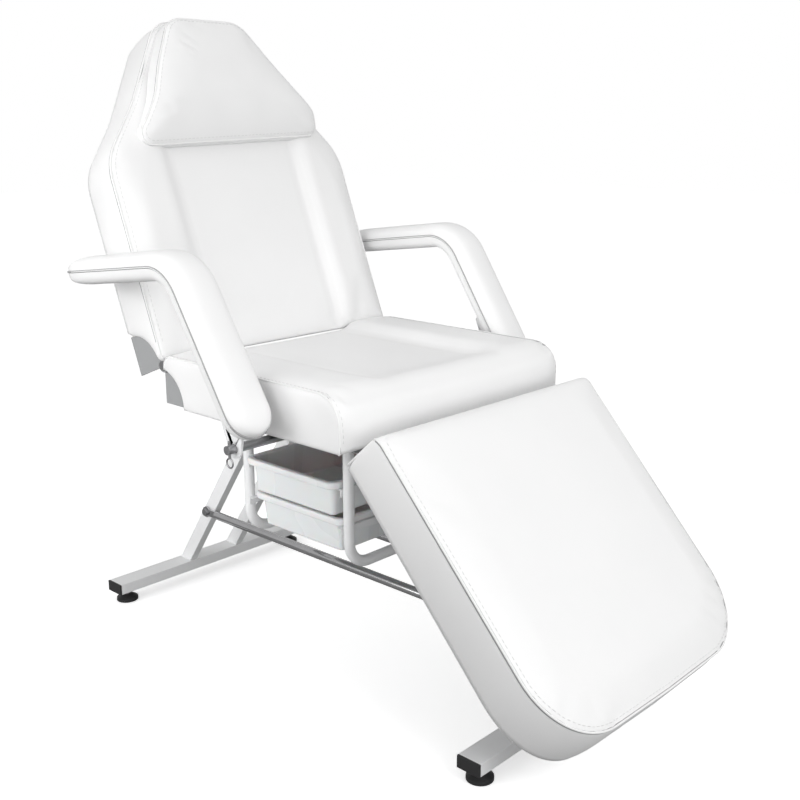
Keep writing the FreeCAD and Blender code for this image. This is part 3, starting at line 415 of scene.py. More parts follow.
# the same quads facing the other way
def turned(quads):
    return [(a, d, c, b) for a, b, c, d in quads]


def newObject(name, verts, faces):
    mesh = bpy.data.meshes.new(name)
    mesh.from_pydata([tuple(vert) for vert in verts], [], faces)
    made = bpy.data.objects.new(name, mesh)
    scene.collection.objects.link(made)
    return made


def newPiece(name, verts, faces, material, body):
    piece = newObject(name, verts, faces)
    piece.data.validate()
    piece.data.materials.append(material)
    for face in piece.data.polygons:
        face.use_smooth = True
    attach(piece, body)
    return piece


# joins the points that lie on each other and turns every face outwards
def joinSeams(piece, within=0.00002):
    shell = bmesh.new()
    shell.from_mesh(piece.data)
    bmesh.ops.remove_doubles(shell, verts=shell.verts, dist=within)
    bmesh.ops.recalc_face_normals(shell, faces=shell.faces)
    shell.to_mesh(piece.data)
    openEdges = sum(1 for edge in shell.edges if not edge.is_manifold)
    shell.free()
    print("  %s: %d points, %d open edges" % (piece.name, len(piece.data.vertices), openEdges))


# air pressure swells a panel between its sewn edges, as foam does under a tight cover
clothLook = {"frames": 20, "quality": 6, "stiffness": 18.0, "bending": 3.0}


def swellPanel(name, verts, faces, pinned, pressure, cap):
    panel = newObject(name + "Cloth", verts, faces)
    panel.vertex_groups.new(name="sewn").add(list(pinned), 1.0, "REPLACE")
    cloth = panel.modifiers.new("cloth", "CLOTH")
    cloth.point_cache.frame_start, cloth.point_cache.frame_end = 1, clothLook["frames"]
    cloth.collision_settings.use_collision = False
    cloth.collision_settings.use_self_collision = False
    rules = cloth.settings
    rules.quality = clothLook["quality"]
    rules.tension_stiffness = rules.compression_stiffness = clothLook["stiffness"]
    rules.shear_stiffness, rules.bending_stiffness = clothLook["stiffness"] / 2, clothLook["bending"]
    rules.vertex_group_mass = "sewn"
    rules.use_pressure, rules.uniform_pressure_force = True, pressure
    rules.effector_weights.gravity = 0
    for number in range(1, clothLook["frames"] + 1):
        scene.frame_set(number)
    swollen = panel.evaluated_get(bpy.context.evaluated_depsgraph_get()).data.vertices
    moved = []
    for start, vert in zip(verts, swollen):
        shift = vert.co - start
        moved.append(start + shift * min(1.0, cap / max(shift.length, 1e-9)))
    reach = max((a - b).length for a, b in zip(moved, verts))
    mesh = panel.data
    bpy.data.objects.remove(panel)
    bpy.data.meshes.remove(mesh)
    scene.frame_set(1)
    print("  %s swelled by up to %.1f mm" % (name, reach * 1000))
    return moved


# relief of a cover

def smoothStep(value, low, high):
    share = max(0.0, min(1.0, (value - low) / (high - low)))
    return share * share * (3 - 2 * share)


# a quarter-round rise from a sewn edge, from 0 at the edge to 1 at the given run
def puff(distance, run):
    share = max(0.0, min(1.0, distance / run))
    return math.sqrt(1 - (1 - share) ** 2)


# faint unevenness: depth, turns across and along, seed and the run it takes to rise from the edge
def ripple(x, y, edge, look):
    deep, across, along, seed, run = look["ripple"]
    return deep * noise.noise(Vector((x * across, y * along, seed))) * puff(edge, run)


# a shallow dish down the middle of a pad, with a narrow valley just inside its edge
def dishShare(x, look):
    inside, width = look["valleyAt"]
    share = smoothStep(look["dishHalf"] - abs(x), *look["dishEdge"])
    valley = math.exp(-((abs(x) - look["dishHalf"] + inside) / width) ** 2)
    return share + look["valley"] / look["dishDepth"] * valley


# pulled folds: each one has two ends, a width and a depth, and a ridge on both sides
foldLook = {"ends": (0.08, 0.84), "trough": 1.4, "ridge": 0.6, "ridgeAt": 1.6}


def foldDepth(x, y, folds):
    look, depth = foldLook, 0.0
    for (ax, ay), (bx, by), width, deep in folds:
        run = Vector((bx - ax, by - ay))
        share = max(0.0, min(1.0, ((x - ax) * run.x + (y - ay) * run.y) / run.length_squared))
        away = math.hypot(x - ax - run.x * share, y - ay - run.y * share) / width
        fade = math.sin(math.pi * (look["ends"][0] + look["ends"][1] * share))
        ridge = look["ridge"] * math.exp(-((away - look["ridgeAt"]) ** 2))
        depth += deep * fade * (look["trough"] * math.exp(-away * away) - ridge)
    return depth


# tubes and stitches along a seam

def tubeMesh(path, radius, sides, closed=False):
    verts, count, side = [], len(path), None
    for index, point in enumerate(path):
        if closed:
            way = path[(index + 1) % count] - path[index - 1]
        else:
            way = path[min(index + 1, count - 1)] - path[max(index - 1, 0)]
        way = way.normalized()
        if side is None:
            side = way.orthogonal().normalized()
        side = (side - way * side.dot(way)).normalized()
        other = way.cross(side)
        for k in range(sides):
            angle = 2 * math.pi * k / sides
            verts.append(point + (side * math.cos(angle) + other * math.sin(angle)) * radius)
    rings = ringsOf(count, sides)
    if closed:
        return verts, joinRings(rings + rings[:1])
    return verts, joinRings(rings) + [tuple(reversed(rings[0])), tuple(rings[-1])]


# evenly spaced points along a path
def respace(path, step, closed=False):
    points = list(path) + ([path[0]] if closed else [])
    lengths = [0.0]
    for a, b in zip(points, points[1:]):
        lengths.append(lengths[-1] + (b - a).length)
    count = max(3, int(lengths[-1] / step))
    spaced, at = [], 0
    for k in range(count if closed else count + 1):
        want = lengths[-1] * k / count
        while at < len(lengths) - 2 and lengths[at + 1] < want:
            at += 1
        share = (want - lengths[at]) / max(lengths[at + 1] - lengths[at], 1e-9)
        spaced.append(points[at].lerp(points[at + 1], share))
    return spaced


# the dark tube sunk under each piping is painted seam shade, not a dark part of the cover
pipingLook = {"radius": 0.0019, "step": 0.006, "sides": 8, "seamShade": 0.0034, "sunk": 0.0020}
stitchLook = {"pitch": 0.0095, "length": 0.0062, "radius": 0.00055, "sides": 5, "lift": 0.0002, "dip": 1.6,
              "flat": 0.7}


# a piping, or the darker tube sunk below it: painted shade that shows as shaded drawn-in lines on both sides
def addTube(name, path, body, material, radius, closed=False):
    spaced = respace(path, pipingLook["step"], closed)
    verts, faces = tubeMesh(spaced, radius, pipingLook["sides"], closed)
    return newPiece(name, verts, faces, material, body)


# a row of short threads laid on a pad's surface along a path
def addStitches(name, path, pad, body):
    look = stitchLook
    surface = BVHTree.FromPolygons([vert.co for vert in pad.data.vertices],
                                   [tuple(face.vertices) for face in pad.data.polygons])
    verts, faces = [], []
    points = respace(path, look["pitch"] / 2)
    for start, end in zip(points[::2], points[1::2]):
        found, normal = surface.find_nearest((start + end) / 2)[:2]
        way = (end - start).normalized() * look["length"] / 2
        lifted = found + normal * look["lift"]
        dip = normal * look["radius"] * look["dip"]
        arc = [lifted - way - dip, lifted - way * look["flat"], lifted + way * look["flat"], lifted + way - dip]
        made, sides = tubeMesh(arc, look["radius"], look["sides"])
        faces += [tuple(corner + len(verts) for corner in face) for face in sides]
        verts += made
    return newPiece(name, verts, faces, thread, body)


# boxed pads: a swollen panel sewn to a side band, closed by a plain underside
boxLook = {"fullness": 0.8, "underSpacing": 1.5}


def boxedPad(name, look, outline, seamHeight, baseHeight, topHeight, place, body, replaced):
    flat, faces = fillPanel(outline, look["spacing"], look["rings"])
    depth = edgeDistance(flat, outline)
    rim, rows = len(outline), look["rows"]
    depth[:rim] = 0.0
    top = [place(p.x, p.y, topHeight(p.x, p.y, max(d, 0.0))) for p, d in zip(flat, depth)]
    top = swellPanel(name, top, faces, range(rim), look["pressure"], look["cap"])
    normals = outwardNormals(outline)
    verts = list(top)
    for row in range(1, rows + 1):
        share = row / rows
        swell = look["bulge"] * math.sin(math.pi * share) ** boxLook["fullness"] - look["draw"] * share ** 2
        for point, normal in zip(outline, normals):
            seam, base = seamHeight(point.x, point.y), baseHeight(point.x, point.y)
            out = point + normal * swell
            verts.append(place(out.x, out.y, seam + (base - seam) * share))
    faces += turned(joinRings([range(rim)] + ringsOf(rows, rim, len(top))))
    under = [point - normal * look["draw"] for point, normal in zip(outline, normals)]
    spots, below = fillPanel(under, look["spacing"] * boxLook["underSpacing"], [look["spacing"]])
    start = len(verts)
    verts += [place(p.x, p.y, baseHeight(*(outline[k] if k < rim else p))) for k, p in enumerate(spots)]
    faces += [tuple(start + corner for corner in reversed(face)) for face in below]
    pad = newPiece(name, verts, faces, cover, body)
    joinSeams(pad)
    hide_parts(*replaced)
    return pad


# points of an outline, put on a pad at a height over its seam
def overSeam(points, seamHeight, place, lift):
    return [place(p.x, p.y, seamHeight(p.x, p.y) + lift) for p in points]


# piping, drawn-in lines of painted seam shade and stitches of a boxed pad
def sewPad(name, pad, body, seam, sunk, stitches, closed=False):
    return [pad, addTube(name + "Piping", seam, body, piping, pipingLook["radius"], closed),
            addTube(name + "Crease", openSeam(sunk), body, seamShade, pipingLook["seamShade"]),
            addStitches(name + "Stitches", stitches, pad, body)]


# the line of a pad's seam, drawn in under its piping, where the dark tube of painted seam shade runs
def sunkSeam(outline, seamHeight, place):
    deep = pipingLook["sunk"]
    return [place(p.x - n.x * deep, p.y - n.y * deep, seamHeight(p.x, p.y) - deep)
            for p, n in zip(outline, outwardNormals(outline))]


# a seam that stops short of its foot, put in order from one end to the other
def openSeam(points):
    first = max(range(len(points)), key=lambda k: (points[k] - points[k - 1]).length)
    return points[first:] + points[:first]


# backrest

backLook = {
    "lean": 21.6, "half": 0.297, "foot": 0.008, "length": 0.671, "shoulder": 0.387, "topHalf": 0.103,
    "neck": (0.208, 0.112, 0.35), "footRound": 0.012, "shoulderRound": 0.115, "topRound": 0.068,
    "topInset": 0.4, "step": 0.008, "rear": 0.080, "thick": 0.094, "recess": 0.079, "recessShift": 0.002,
    "crown": 0.014, "edgeRun": 0.05, "dishHalf": 0.172, "dishDepth": 0.015, "dishEdge": (-0.020, 0.018),
    "dishRun": 0.03, "dishFade": (0.66, 0.95), "valley": 0.003, "valleyAt": (0.014, 0.007),
    "ripple": (0.0012, 9, 7, 1.7, 0.06),
    "spacing": 0.0095, "rings": [0.003, 0.007, 0.012, 0.018], "rows": 9, "bulge": 0.0025, "draw": 0.004,
    "pressure": 3.0, "cap": 0.006,
    "pipingLift": 0.0006, "pipingFrom": 0.0005, "linesFrom": 0.03, "stitchInset": 0.007, "stitchLift": 0.008,
}
backPlace = Matrix.Translation(backHinge) @ Matrix.Rotation(math.radians(-backLook["lean"]), 4, "X")


def onBack(x, along, rise):
    return backPlace @ Vector((x, backLook["rear"] - rise, along))


def backOutline(inset=0.0):
    look = backLook
    half, foot = look["half"] - inset, look["foot"] + inset
    crest = look["foot"] + look["length"] - inset
    shoulder = look["foot"] + look["shoulder"]
    neck, above, bend = look["neck"]
    right = [(half, foot, look["footRound"]), (half, shoulder, look["shoulderRound"]),
             (neck - inset, shoulder + above, bend),
             (look["topHalf"] - inset * look["topInset"], crest, look["topRound"])]
    return roundedOutline(right + [(-x, y, r) for x, y, r in reversed(right)], look["step"])


def backSeam(x, along):
    return backLook["thick"]


def backRise(x, along, edge):
    look = backLook
    rise = look["thick"] + look["crown"] * puff(edge, look["edgeRun"])
    start, end = (look["length"] * share for share in look["dishFade"])
    fade = 1 - smoothStep(along - look["foot"], start, end)
    dish = look["dishDepth"] * dishShare(x, look) * fade * puff(edge, look["dishRun"])
    return rise - dish + ripple(x, along, edge, look)


# the rear is cut out round the hinge
def backBase(x, along):
    reach, recess = along + backLook["recessShift"], backLook["recess"]
    return math.sqrt(recess ** 2 - reach ** 2) if reach < recess else 0.0


def makeBackrest():
    look, outline = backLook, backOutline()
    pad = boxedPad("backrestPad", look, outline, backSeam, backBase, backRise, onBack, "backrest",
                   ["back_cushion"])
    seam = openSeam([p for p in outline if p.y > look["foot"] + look["pipingFrom"]])
    seam = overSeam(seam, backSeam, onBack, look["pipingLift"])
    lowest = look["foot"] + look["linesFrom"]
    # the dark tube of painted seam shade starts a little above the foot
    sunk = [p for p, at in zip(sunkSeam(outline, backSeam, onBack), outline) if at.y > lowest]
    inner = openSeam([p for p in backOutline(look["stitchInset"]) if p.y > lowest])
    sewPad("backrest", pad, "backrest", seam, sunk, overSeam(inner, backSeam, onBack, look["stitchLift"]))
    print("backrest done")


makeBackrest()


# head pillow, thin at the foot and thicker towards the top

pillowLook = {
    "foot": 0.401, "face": 0.1096, "base": -0.02, "seam": (0.007, 0.027), "seamRun": (0.015, 0.10),
    "crown": 0.014, "edgeRun": 0.045, "step": 0.0065, "ripple": (0.0016, 14, 12, 4.1, 0.05),
    "spacing": 0.0075, "rings": [0.0025, 0.006, 0.011, 0.017], "rows": 5, "bulge": 0.0025, "draw": 0.003,
    "pressure": 3.0, "cap": 0.005,
    "pipingLift": 0.0005, "linesFrom": 0.04, "stitchInset": 0.0065, "stitchLift": 0.006,
    "corners": [(0.226, 0.030, 0.018), (0.219, 0.076, 0.040), (0.134, 0.182, 0.40), (0.073, 0.266, 0.055),
                (-0.101, 0.266, 0.050), (-0.151, 0.176, 0.30), (-0.179, 0.111, 0.15), (-0.212, 0.058, 0.05),
                (-0.250, 0.013, 0.022)],
    "folds": [((-0.105, 0.219), (-0.062, 0.196), 0.0055, 0.0032),
              ((-0.090, 0.192), (-0.066, 0.181), 0.005, 0.0016),
              ((-0.05, 0.035), (0.01, 0.029), 0.008, 0.0008), ((0.03, 0.028), (0.09, 0.033), 0.008, 0.0007),
              ((0.15, 0.07), (0.185, 0.05), 0.009, 0.001), ((-0.175, 0.085), (-0.145, 0.070), 0.010, 0.0026)],
}


def onPillow(x, along, rise):
    return onBack(x, pillowLook["foot"] + along, pillowLook["face"] + rise)


def pillowSeam(x, along):
    low, high = pillowLook["seam"]
    return low + (high - low) * smoothStep(along, *pillowLook["seamRun"])


def pillowRise(x, along, edge):
    look = pillowLook
    rise = pillowSeam(x, along) + look["crown"] * puff(edge, look["edgeRun"])
    return rise + ripple(x, along, edge, look) - foldDepth(x, along, look["folds"])


def makePillow():
    look, outline = pillowLook, roundedOutline(pillowLook["corners"], pillowLook["step"])
    pad = boxedPad("headPillow", look, outline, pillowSeam, lambda x, y: look["base"], pillowRise, onPillow,
                   "backrest", ["head_pillow"])
    seam = overSeam(outline, pillowSeam, onPillow, look["pipingLift"])
    sunk = [p for p, at in zip(sunkSeam(outline, pillowSeam, onPillow), outline) if at.y > look["linesFrom"]]
    inner = [p - n * look["stitchInset"] for p, n in zip(outline, outwardNormals(outline))]
    stitches = overSeam(inner, pillowSeam, onPillow, look["stitchLift"])
    sewPad("pillow", pad, "backrest", seam, sunk, stitches, closed=True)
    print("pillow done")


makePillow()


# leg rest

legLook = {
    "droop": 48.0, "base": 0.002, "start": 0.004, "length": 0.553, "half": 0.287, "footHalf": 0.283,
    "endBow": 0.004, "headCorner": 0.010, "corner": 0.130, "step": 0.008, "thin": 0.098, "thick": 0.101,
    "crown": 0.009, "edgeRun": 0.045, "headRound": 0.018, "headRun": 0.12, "footReach": 0.018,
    "footRun": (0.38, 0.55), "pressed": 0.970, "ripple": (0.0011, 8, 8, 2.3, 0.08),
    "spacing": 0.0095, "rings": [0.003, 0.007, 0.012, 0.018], "rows": 9, "bulge": 0.003, "draw": 0.006,
    "pressure": 2.6, "cap": 0.006,
    "pipingLift": 0.0005, "pipingFrom": 0.0005, "pipingEnd": 0.004, "seamShadeFrom": 0.0045,
    "stitchFrom": 0.012, "stitchInset": 0.0075, "stitchLift": 0.006,
    "folds": [((0.262, -0.50), (0.225, -0.475), 0.008, 0.0011),
              ((0.235, -0.535), (0.205, -0.505), 0.008, 0.0011),
              ((-0.255, -0.505), (-0.222, -0.478), 0.008, 0.001),
              ((0.19, -0.556), (0.17, -0.52), 0.008, 0.0008)],
}
legPlace = Matrix.Translation(hinges["leg_lift"]) @ Matrix.Rotation(math.radians(legLook["droop"]), 4, "X")


# the underside reaches a little past the seam at the foot
def onLeg(x, along, rise):
    look = legLook
    past = look["footReach"] * max(1 - rise / look["thick"], 0.0) * smoothStep(-along, *look["footRun"])
    return legPlace @ Vector((x, along - past, look["base"] + rise))


def legOutline(inset=0.0):
    look = legLook
    start, end = -look["start"], -look["start"] - look["length"] + inset
    half, foot, bow = look["half"] - inset, look["footHalf"] - inset, look["endBow"]
    head, corner = look["headCorner"], look["corner"] - inset
    return roundedOutline([(half, start, head), (-half, start, head), (-foot, end + bow, corner),
                           (0, end, 0), (foot, end + bow, corner)], look["step"])


# height of the seam: thicker to the foot, rolled down at the head end
def legSeam(x, along):
    look = legLook
    gone = -along - look["start"]
    full = look["thin"] + (look["thick"] - look["thin"]) * gone / look["length"]
    return full - look["headRound"] * (1 - puff(gone, look["headRound"]))


# puffed from the seam, but near the head end from the sides only
def legRise(x, along, edge):
    look = legLook
    gone = -along - look["start"]
    seamGap = edge if gone > look["headRun"] else look["half"] - abs(x)
    puffed = look["crown"] * puff(seamGap, look["edgeRun"])
    return legSeam(x, along) + puffed + ripple(x, along, edge, look) - foldDepth(x, along, look["folds"])


def makeLegRest():
    look, outline, head = legLook, legOutline(), -legLook["start"]
    pad = boxedPad("legRestPad", look, outline, legSeam, lambda x, y: 0.0, legRise, onLeg, "leg_rest",
                   ["leg_rest_cushion"])
    seam = openSeam([p for p in outline if p.y < head - look["pipingFrom"]])
    first, last = (onLeg(p.x, p.y, look["pipingEnd"]) for p in (seam[0], seam[-1]))
    seam = [first] + overSeam(seam, legSeam, onLeg, look["pipingLift"]) + [last]
    fromLeg = legPlace.inverted()
    # the dark tube of painted seam shade stops short of the head end
    sunk = [p for p in sunkSeam(outline, legSeam, onLeg) if (fromLeg @ p).y < head - look["seamShadeFrom"]]
    inner = openSeam([p for p in legOutline(look["stitchInset"]) if p.y < head - look["stitchFrom"]])
    stitches = overSeam(inner, legSeam, onLeg, look["stitchLift"])
    # each piece of the leg rest gets a mesh of its own
    for piece in sewPad("legRest", pad, "leg_rest", seam, sunk, stitches):
        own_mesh(piece)
    print("leg rest done")


makeLegRest()


# seat: one cover rolled from the crease over the front edge, with sewn-in side panels

seatLook = {
    "half": 0.295, "low": 0.500, "seam": 0.595, "front": 0.480, "rear": 0.0130, "frontRound": 0.050,
    "rearRound": 0.020, "recess": 0.070, "recessShift": 0.002, "recessSteps": 12,
    "step": 0.008, "lowStep": 0.012, "crown": 0.013, "edgeRun": 0.050,
    "dishHalf": 0.166, "dishDepth": 0.017, "dishEdge": (-0.022, 0.020),
    "dishRun": (0.0, 0.11), "valley": 0.0025, "valleyAt": (0.014, 0.006), "ripple": (0.001, 9, 9, 7.7, 0.05),
    "spacing": 0.0095, "columnMix": (0.55, 0.45), "endRows": 6, "pinnedRows": (2, 10),
    "pressure": 2.6, "cap": 0.006,
    "sideSpacing": 0.011, "sideRings": [0.003, 0.008, 0.014], "bulge": 0.003, "bulgeRun": 0.02,
    "piping": 0.002, "seamShade": 0.0028, "stitchInset": 0.007, "stitchRows": (4, -2),
    "folds": [((0.262, 0.06), (0.235, 0.02), 0.009, 0.001), ((-0.262, 0.06), (-0.235, 0.02), 0.009, 0.001)],
}


# closed side profile: crease, top, front roll, underside, then the round cut-out for the hinge plates
def seatProfile():
    look, low, radius = seatLook, seatLook["low"], seatLook["recess"]
    rear, front = backHinge.y - look["rear"], backHinge.y - look["front"]
    centre = backHinge.y + look["recessShift"]
    edge = low + math.sqrt(radius ** 2 - (rear - centre) ** 2)
    upper = roundedOutline([(rear, edge, 0), (rear, look["seam"], look["rearRound"]),
                            (front, look["seam"], look["frontRound"]), (front, low, 0)], look["step"], False)
    start = centre - radius
    count = int((start - front) / look["lowStep"])
    lower = [Vector((front + (start - front) * k / count, low)) for k in range(1, count + 1)]
    sweep, steps = math.acos((centre - rear) / radius), look["recessSteps"]
    for k in range(1, steps):
        angle = sweep * k / steps
        lower.append(Vector((centre - math.cos(angle) * radius, low + math.sin(angle) * radius)))
    return upper, lower


def seatLift(x, y):
    look, edge = seatLook, seatLook["half"] - abs(x)
    back = y - (backHinge.y - look["front"])
    dish = dishShare(x, look) * smoothStep(back, *look["dishRun"])
    lift = look["crown"] * puff(edge, look["edgeRun"]) - look["dishDepth"] * dish
    return lift + ripple(x, y, edge, look) - foldDepth(x, back, look["folds"])


# a line of the side profile at one side of the seat
def seatLine(sign, inset, points):
    return [Vector((sign * (seatLook["half"] - inset), p.x, p.y)) for p in points]


def makeSeat():
    look = seatLook
    upper, lower = seatProfile()
    loop = upper + lower
    out = outwardNormals(loop)
    count, rim, top = int(2 * look["half"] / look["spacing"]), len(loop), len(upper)
    bowed, even = look["columnMix"]
    verts = []
    for column in range(count + 1):
        across = -math.cos(math.pi * column / count)
        x = look["half"] * (bowed * math.sin(math.pi / 2 * across) + even * across)
        for k, (point, normal) in enumerate(zip(loop, out)):
            ends = smoothStep(min(k, top - 1 - k) if k < top else 0, 0, look["endRows"])
            lift = seatLift(x, point.x)
            spot = point + normal * lift * ends
            # the rear edge follows the dish downwards
            sunk = min(lift, 0.0) * (1 - ends) if 0 < k < top / 2 else 0.0
            verts.append(Vector((x, spot.x, spot.y + sunk)))
    faces = turned(joinRings(ringsOf(count + 1, rim)))
    rearRows, frontRows = look["pinnedRows"]
    pinned = [column * rim + k for column in range(count + 1) for k in range(rim)
              if column in (0, count) or k >= top - frontRows or k <= rearRows]
    verts = swellPanel("seatPad", verts, faces, pinned, look["pressure"], look["cap"])
    flat, below = fillPanel(loop, look["sideSpacing"], look["sideRings"])
    depth = edgeDistance(flat, loop)
    for sign in (-1, 1):
        start = len(verts)
        for k, (p, d) in enumerate(zip(flat, depth)):
            swell = 0.0 if k < rim else look["bulge"] * puff(max(d, 0.0), look["bulgeRun"])
            verts.append(Vector((sign * (look["half"] + swell), p.x, p.y)))
        faces += [tuple(start + corner for corner in face) for face in below]
    pad = newPiece("seatPad", verts, faces, cover, "frame")
    joinSeams(pad)
    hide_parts("seat_cushion")
    deep, (first, last) = pipingLook["sunk"], look["stitchRows"]
    # the drawn-in line under each side piping carries a dark tube of painted seam shade
    seamShadeLine = [Vector((p.x - n.x * deep, p.y - n.y * deep)) for p, n in zip(upper, out)]
    for side, sign in (("Left", -1), ("Right", 1)):
        addTube("seatPiping" + side, seatLine(sign, 0.0, upper), "frame", piping, look["piping"])
        addTube("seatCrease" + side, seatLine(sign, deep, seamShadeLine), "frame", seamShade, look["seamShade"])
        inner = seatLine(sign, look["stitchInset"], upper[first:last])
        addStitches("seatStitches" + side, inner, pad, "frame")
    print("seat done")


makeSeat()


# armrests: one pad swept along a bent line, tapering to the rear tip

armLook = {
    "middle": 0.357, "rear": (0.165, 0.743), "bend": (-0.1746, 0.7855), "foot": (-0.3513, 0.517),
    "round": 0.080, "step": 0.006, "half": 0.043, "under": -0.026, "crest": 0.026, "flat": 0.4,
    "lowerTurn": (7, 0.45, 0.62), "upperTurn": (9, 0.74, 0.82), "ripple": (0.012, 11, 30),
    "tipRun": 0.085, "tipLeast": 0.0012, "tipWide": 0.85, "tipTall": (0.2, 0.8, 1.1, 0.8),
    "footRun": 0.045, "footLeast": 0.004, "footTall": (0.35, 0.65),
    "piping": 0.0017, "seamShade": 0.0025, "seamShadeShare": 0.02,
}


# cross-section as across and up, all round from the underside's middle, and the seam's place in it
def armSection():
    look, half, under = armLook, armLook["half"], armLook["under"]
    right = [(0.0, under), (half * look["flat"], under)]
    steps, wide, tall = look["lowerTurn"]
    for k in range(1, steps):
        angle = math.pi / 2 * (1 - k / steps)
        right.append((half * math.cos(angle) ** wide, under * math.sin(angle) ** tall))
    seamAt = len(right)
    right.append((half, 0.0))
    steps, wide, tall = look["upperTurn"]
    for k in range(1, steps + 1):
        angle = math.pi / 2 * k / steps
        right.append((half * math.cos(angle) ** wide, look["crest"] * math.sin(angle) ** tall))
    left = [(-x, y) for x, y in right[-2:0:-1]]
    return right + left, seamAt


# share of the full width and height, by the distance gone from the tip and left to the foot
def armTaper(gone, left):
    look = armLook
    tip, foot = max(gone / look["tipRun"], look["tipLeast"]), max(left / look["footRun"], look["footLeast"])
    wide = min(puff(tip, 1.0) ** look["tipWide"], puff(foot, 1.0))
    least, rest, run, power = look["tipTall"]
    footLeast, footRest = look["footTall"]
    return wide, min(least + rest * puff(tip, run) ** power, footLeast + footRest * puff(foot, 1.0))


def makeArmrest(side, sign):
    look = armLook
    corners = [(backHinge.y + look[spot][0], look[spot][1], look["round"]) for spot in ("rear", "bend", "foot")]
    line = roundedOutline(corners, look["step"], False)
    path = respace([Vector((0, p.x, p.y)) for p in line], look["step"])
    total = sum((b - a).length for a, b in zip(path, path[1:]))
    ring, seamAt = armSection()
    deep, along, about = look["ripple"]
    verts, gone, last = [], 0.0, len(path) - 1
    for index, point in enumerate(path):
        gone += (point - path[index - 1]).length if index else 0.0
        way = (path[min(index + 1, last)] - path[max(index - 1, 0)]).normalized()
        up = Vector((0, way.z, -way.y))
        wide, tall = armTaper(gone, total - gone)
        for x, rise in ring:
            swell = 1 + deep * noise.noise(Vector((gone * along, x * about, sign)))
            across = Vector((sign * look["middle"] + x * wide, 0, 0))
            verts.append(point + across + up * rise * tall * swell)
    rings = ringsOf(len(path), len(ring))
    faces = joinRings(rings) + [tuple(rings[0]), tuple(reversed(rings[-1]))]
    body, name = "armrest_" + side, "armPad" + side.capitalize()
    pad = newPiece(name, verts, faces, cover, body)
    joinSeams(pad)
    smooth = pad.modifiers.new("round", "SUBSURF")
    smooth.levels = smooth.render_levels = 1
    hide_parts("arm_pad_" + side, "arm_core_" + side)
    outer, inner = ([verts[row[corner]] for row in rings] for corner in (seamAt, len(ring) - seamAt))
    around = outer[::-1] + inner
    addTube(name + "Piping", around, body, piping, look["piping"], closed=True)
    # a dark tube just inside the piping, drawn in towards the arm's middle: painted seam shade
    seamShadeLine = [p + Vector((sign * look["middle"] - p.x, 0, 0)) * look["seamShadeShare"] for p in around]
    addTube(name + "Crease", seamShadeLine, body, seamShade, look["seamShade"], closed=True)
    print("armrest", side, "done")


for side, sign in (("left", -1), ("right", 1)):
    makeArmrest(side, sign)


# trays: a tapered body under a lip with rolled edges

trayLook = {"lip": 0.011, "lipHeight": 0.012, "wall": 0.0025, "taper": 0.005, "corner": 0.020,
            "cornerShrink": 0.7, "cornerLeast": 0.006, "arc": 8}


# one level of a tray: a rectangle with rounded corners, drawn in from the lip's outer edge
def trayLoop(low, high, inset, height):
    radius = max(trayLook["corner"] - inset * trayLook["cornerShrink"], trayLook["cornerLeast"])
    loop = []
    for turn, (x, y) in enumerate(((high.x, high.y), (low.x, high.y), (low.x, low.y), (high.x, low.y))):
        inwards = Vector((-1 if x == high.x else 1, -1 if y == high.y else 1, 0))
        middle = Vector((x, y, low.z + height)) + inwards * (inset + radius)
        for k in range(trayLook["arc"] + 1):
            angle = math.pi / 2 * (turn + k / trayLook["arc"])
            loop.append(middle + Vector((math.cos(angle), math.sin(angle), 0)) * radius)
    return loop


def makeTray(level):
    look = trayLook
    low, high = (Vector(corner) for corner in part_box(level + "_tray"))
    tall, lip, wall, foot = high.z - low.z, look["lip"], look["wall"], look["lip"] + look["taper"]
    under = tall - look["lipHeight"]
    # inset and height of each level, from the underside over the lip to the floor inside
    levels = [(foot + 0.005, 0.0), (foot + 0.0015, 0.0009), (foot, 0.004), (lip + 0.0004, under - 0.002),
              (lip - 0.001, under), (0.0012, under), (0.0, under + 0.0012), (0.0, tall - 0.003),
              (0.0009, tall - 0.0009), (0.003, tall), (lip - 0.002, tall), (lip + 0.001, tall - 0.001),
              (lip + wall, tall - 0.004), (foot + wall, wall + 0.005), (foot + wall + 0.0015, wall + 0.0012),
              (foot + wall + 0.005, wall)]
    verts = [spot for inset, height in levels for spot in trayLoop(low, high, inset, height)]
    rings = ringsOf(len(levels), len(verts) // len(levels))
    faces = joinRings(rings) + [tuple(reversed(rings[0])), tuple(rings[-1])]
    name = level + "TrayShell"
    shell = newPiece(name, verts, faces, finishOf["tray_plastic"], level + "_drawer")
    evenNormals(shell)
    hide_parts(level + "_tray")


for level in ("upper", "lower"):
    makeTray(level)
print("trays done")


# studio: pale floor, soft lamps around and the picture's viewpoint

studioLook = {
    "reach": 14.0, "height": -0.0004, "roughness": 0.8, "floor": (0.95, 0.95, 0.95, 1),
    "bounce": (0.36, 0.36, 0.36, 1), "glow": 0.5, "sky": 0.58,
    "lamps": {"overhead": ((-0.2, 0.0, 3.0), (0, 0, 0.4), 2.6, 6.0, 180),
              "front": ((-0.3, -2.2, 1.7), (0, 0, 0.5), 1.5, 28.0, 180),
              "side": ((-2.2, 0.0, 1.6), (-0.1, 0.35, 0.8), 0.9, 1.1, 50),
              "rear": ((-2.2, 0.9, 1.0), (-0.2, 0.3, 0.75), 1.2, 3.3, 60),
              "low": ((-1.7, -2.1, 0.45), (0.0, -0.2, 0.4), 1.0, 6.0, 180),
              "under": ((-2.2, -0.5, 0.4), (-0.15, 0.42, 0.22), 0.5, 0.3, 30)},
}


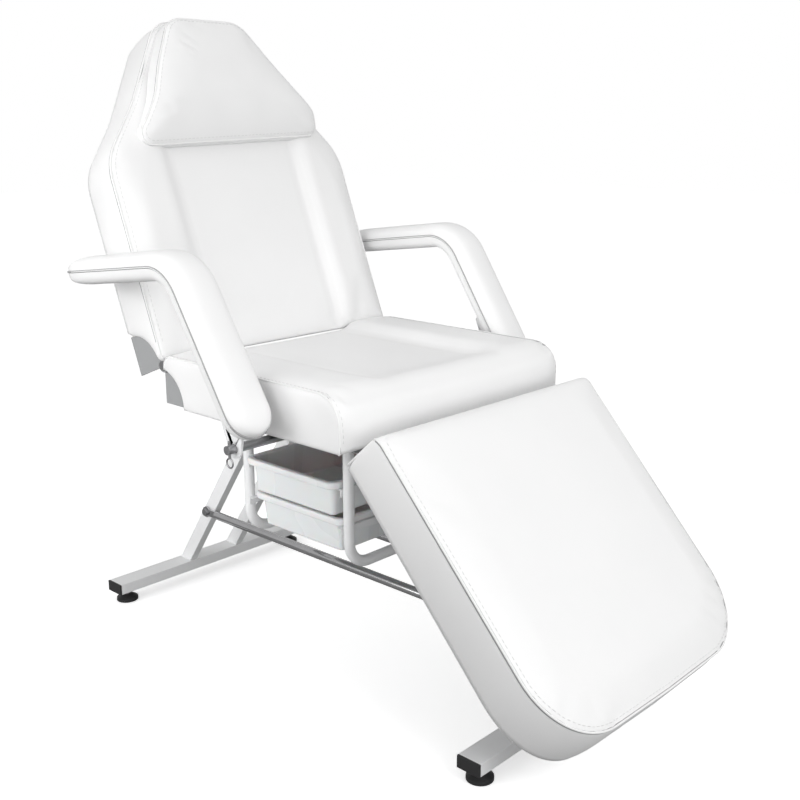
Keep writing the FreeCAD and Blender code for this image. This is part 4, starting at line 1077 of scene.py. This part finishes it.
# brighter to the camera than what it throws back on the bed
def makeFloor():
    reach, height = studioLook["reach"], studioLook["height"]
    corners = [(x * reach, y * reach, height) for x, y in ((-1, -1), (1, -1), (1, 1), (-1, 1))]
    floor = newObject("floor", corners, [(0, 1, 2, 3)])
    paper, tree, takes = newMaterial("paleFloor")
    takes["Roughness"].default_value = studioLook["roughness"]
    takes["Emission Color"].default_value = (1, 1, 1, 1)
    seen = addNode(tree, "ShaderNodeLightPath").outputs["Is Camera Ray"]
    link(tree, mixColour(tree, seen, studioLook["bounce"], studioLook["floor"]), takes["Base Color"])
    link(tree, spread(tree, seen, 0.0, studioLook["glow"]), takes["Emission Strength"])
    floor.data.materials.append(paper)


def addLight(name, place, target, size, power, beam):
    lamp = bpy.data.lights.new(name, "AREA")
    lamp.shape, lamp.size, lamp.energy, lamp.spread = "SQUARE", size, power, math.radians(beam)
    light = bpy.data.objects.new(name, lamp)
    light.location = place
    light.rotation_euler = (Vector(target) - Vector(place)).to_track_quat("-Z", "Y").to_euler()
    scene.collection.objects.link(light)


cameraLook = {"fromHinge": (-1.4430, -1.6818, 0.4418), "yaw": 47.03, "pitch": 14.31, "lens": 48.96,
              "sensor": 36.0, "farthest": 60.0}


def makeCamera():
    lens = bpy.data.cameras.new("view")
    lens.lens, lens.sensor_width = cameraLook["lens"], cameraLook["sensor"]
    lens.clip_end = cameraLook["farthest"]
    camera = bpy.data.objects.new("view", lens)
    yaw, pitch = math.radians(cameraLook["yaw"]), math.radians(cameraLook["pitch"])
    ahead = Vector((math.sin(yaw) * math.cos(pitch), math.cos(yaw) * math.cos(pitch), -math.sin(pitch)))
    camera.location = backHinge + Vector(cameraLook["fromHinge"])
    camera.rotation_euler = ahead.to_track_quat("-Z", "Y").to_euler()
    scene.collection.objects.link(camera)
    scene.camera = camera


def makeStudio():
    makeFloor()
    world = bpy.data.worlds.new("studio")
    world.use_nodes = True
    tree = world.node_tree
    sky = tree.nodes["Background"]
    sky.inputs["Color"].default_value = (1, 1, 1, 1)
    seen = addNode(tree, "ShaderNodeLightPath").outputs["Is Camera Ray"]
    link(tree, spread(tree, seen, studioLook["sky"], 1.0), sky.inputs["Strength"])
    scene.world = world
    for name, settings in studioLook["lamps"].items():
        addLight(name, *settings)
    scene.view_settings.view_transform = "Standard"


makeStudio()
makeCamera()
print("studio done")
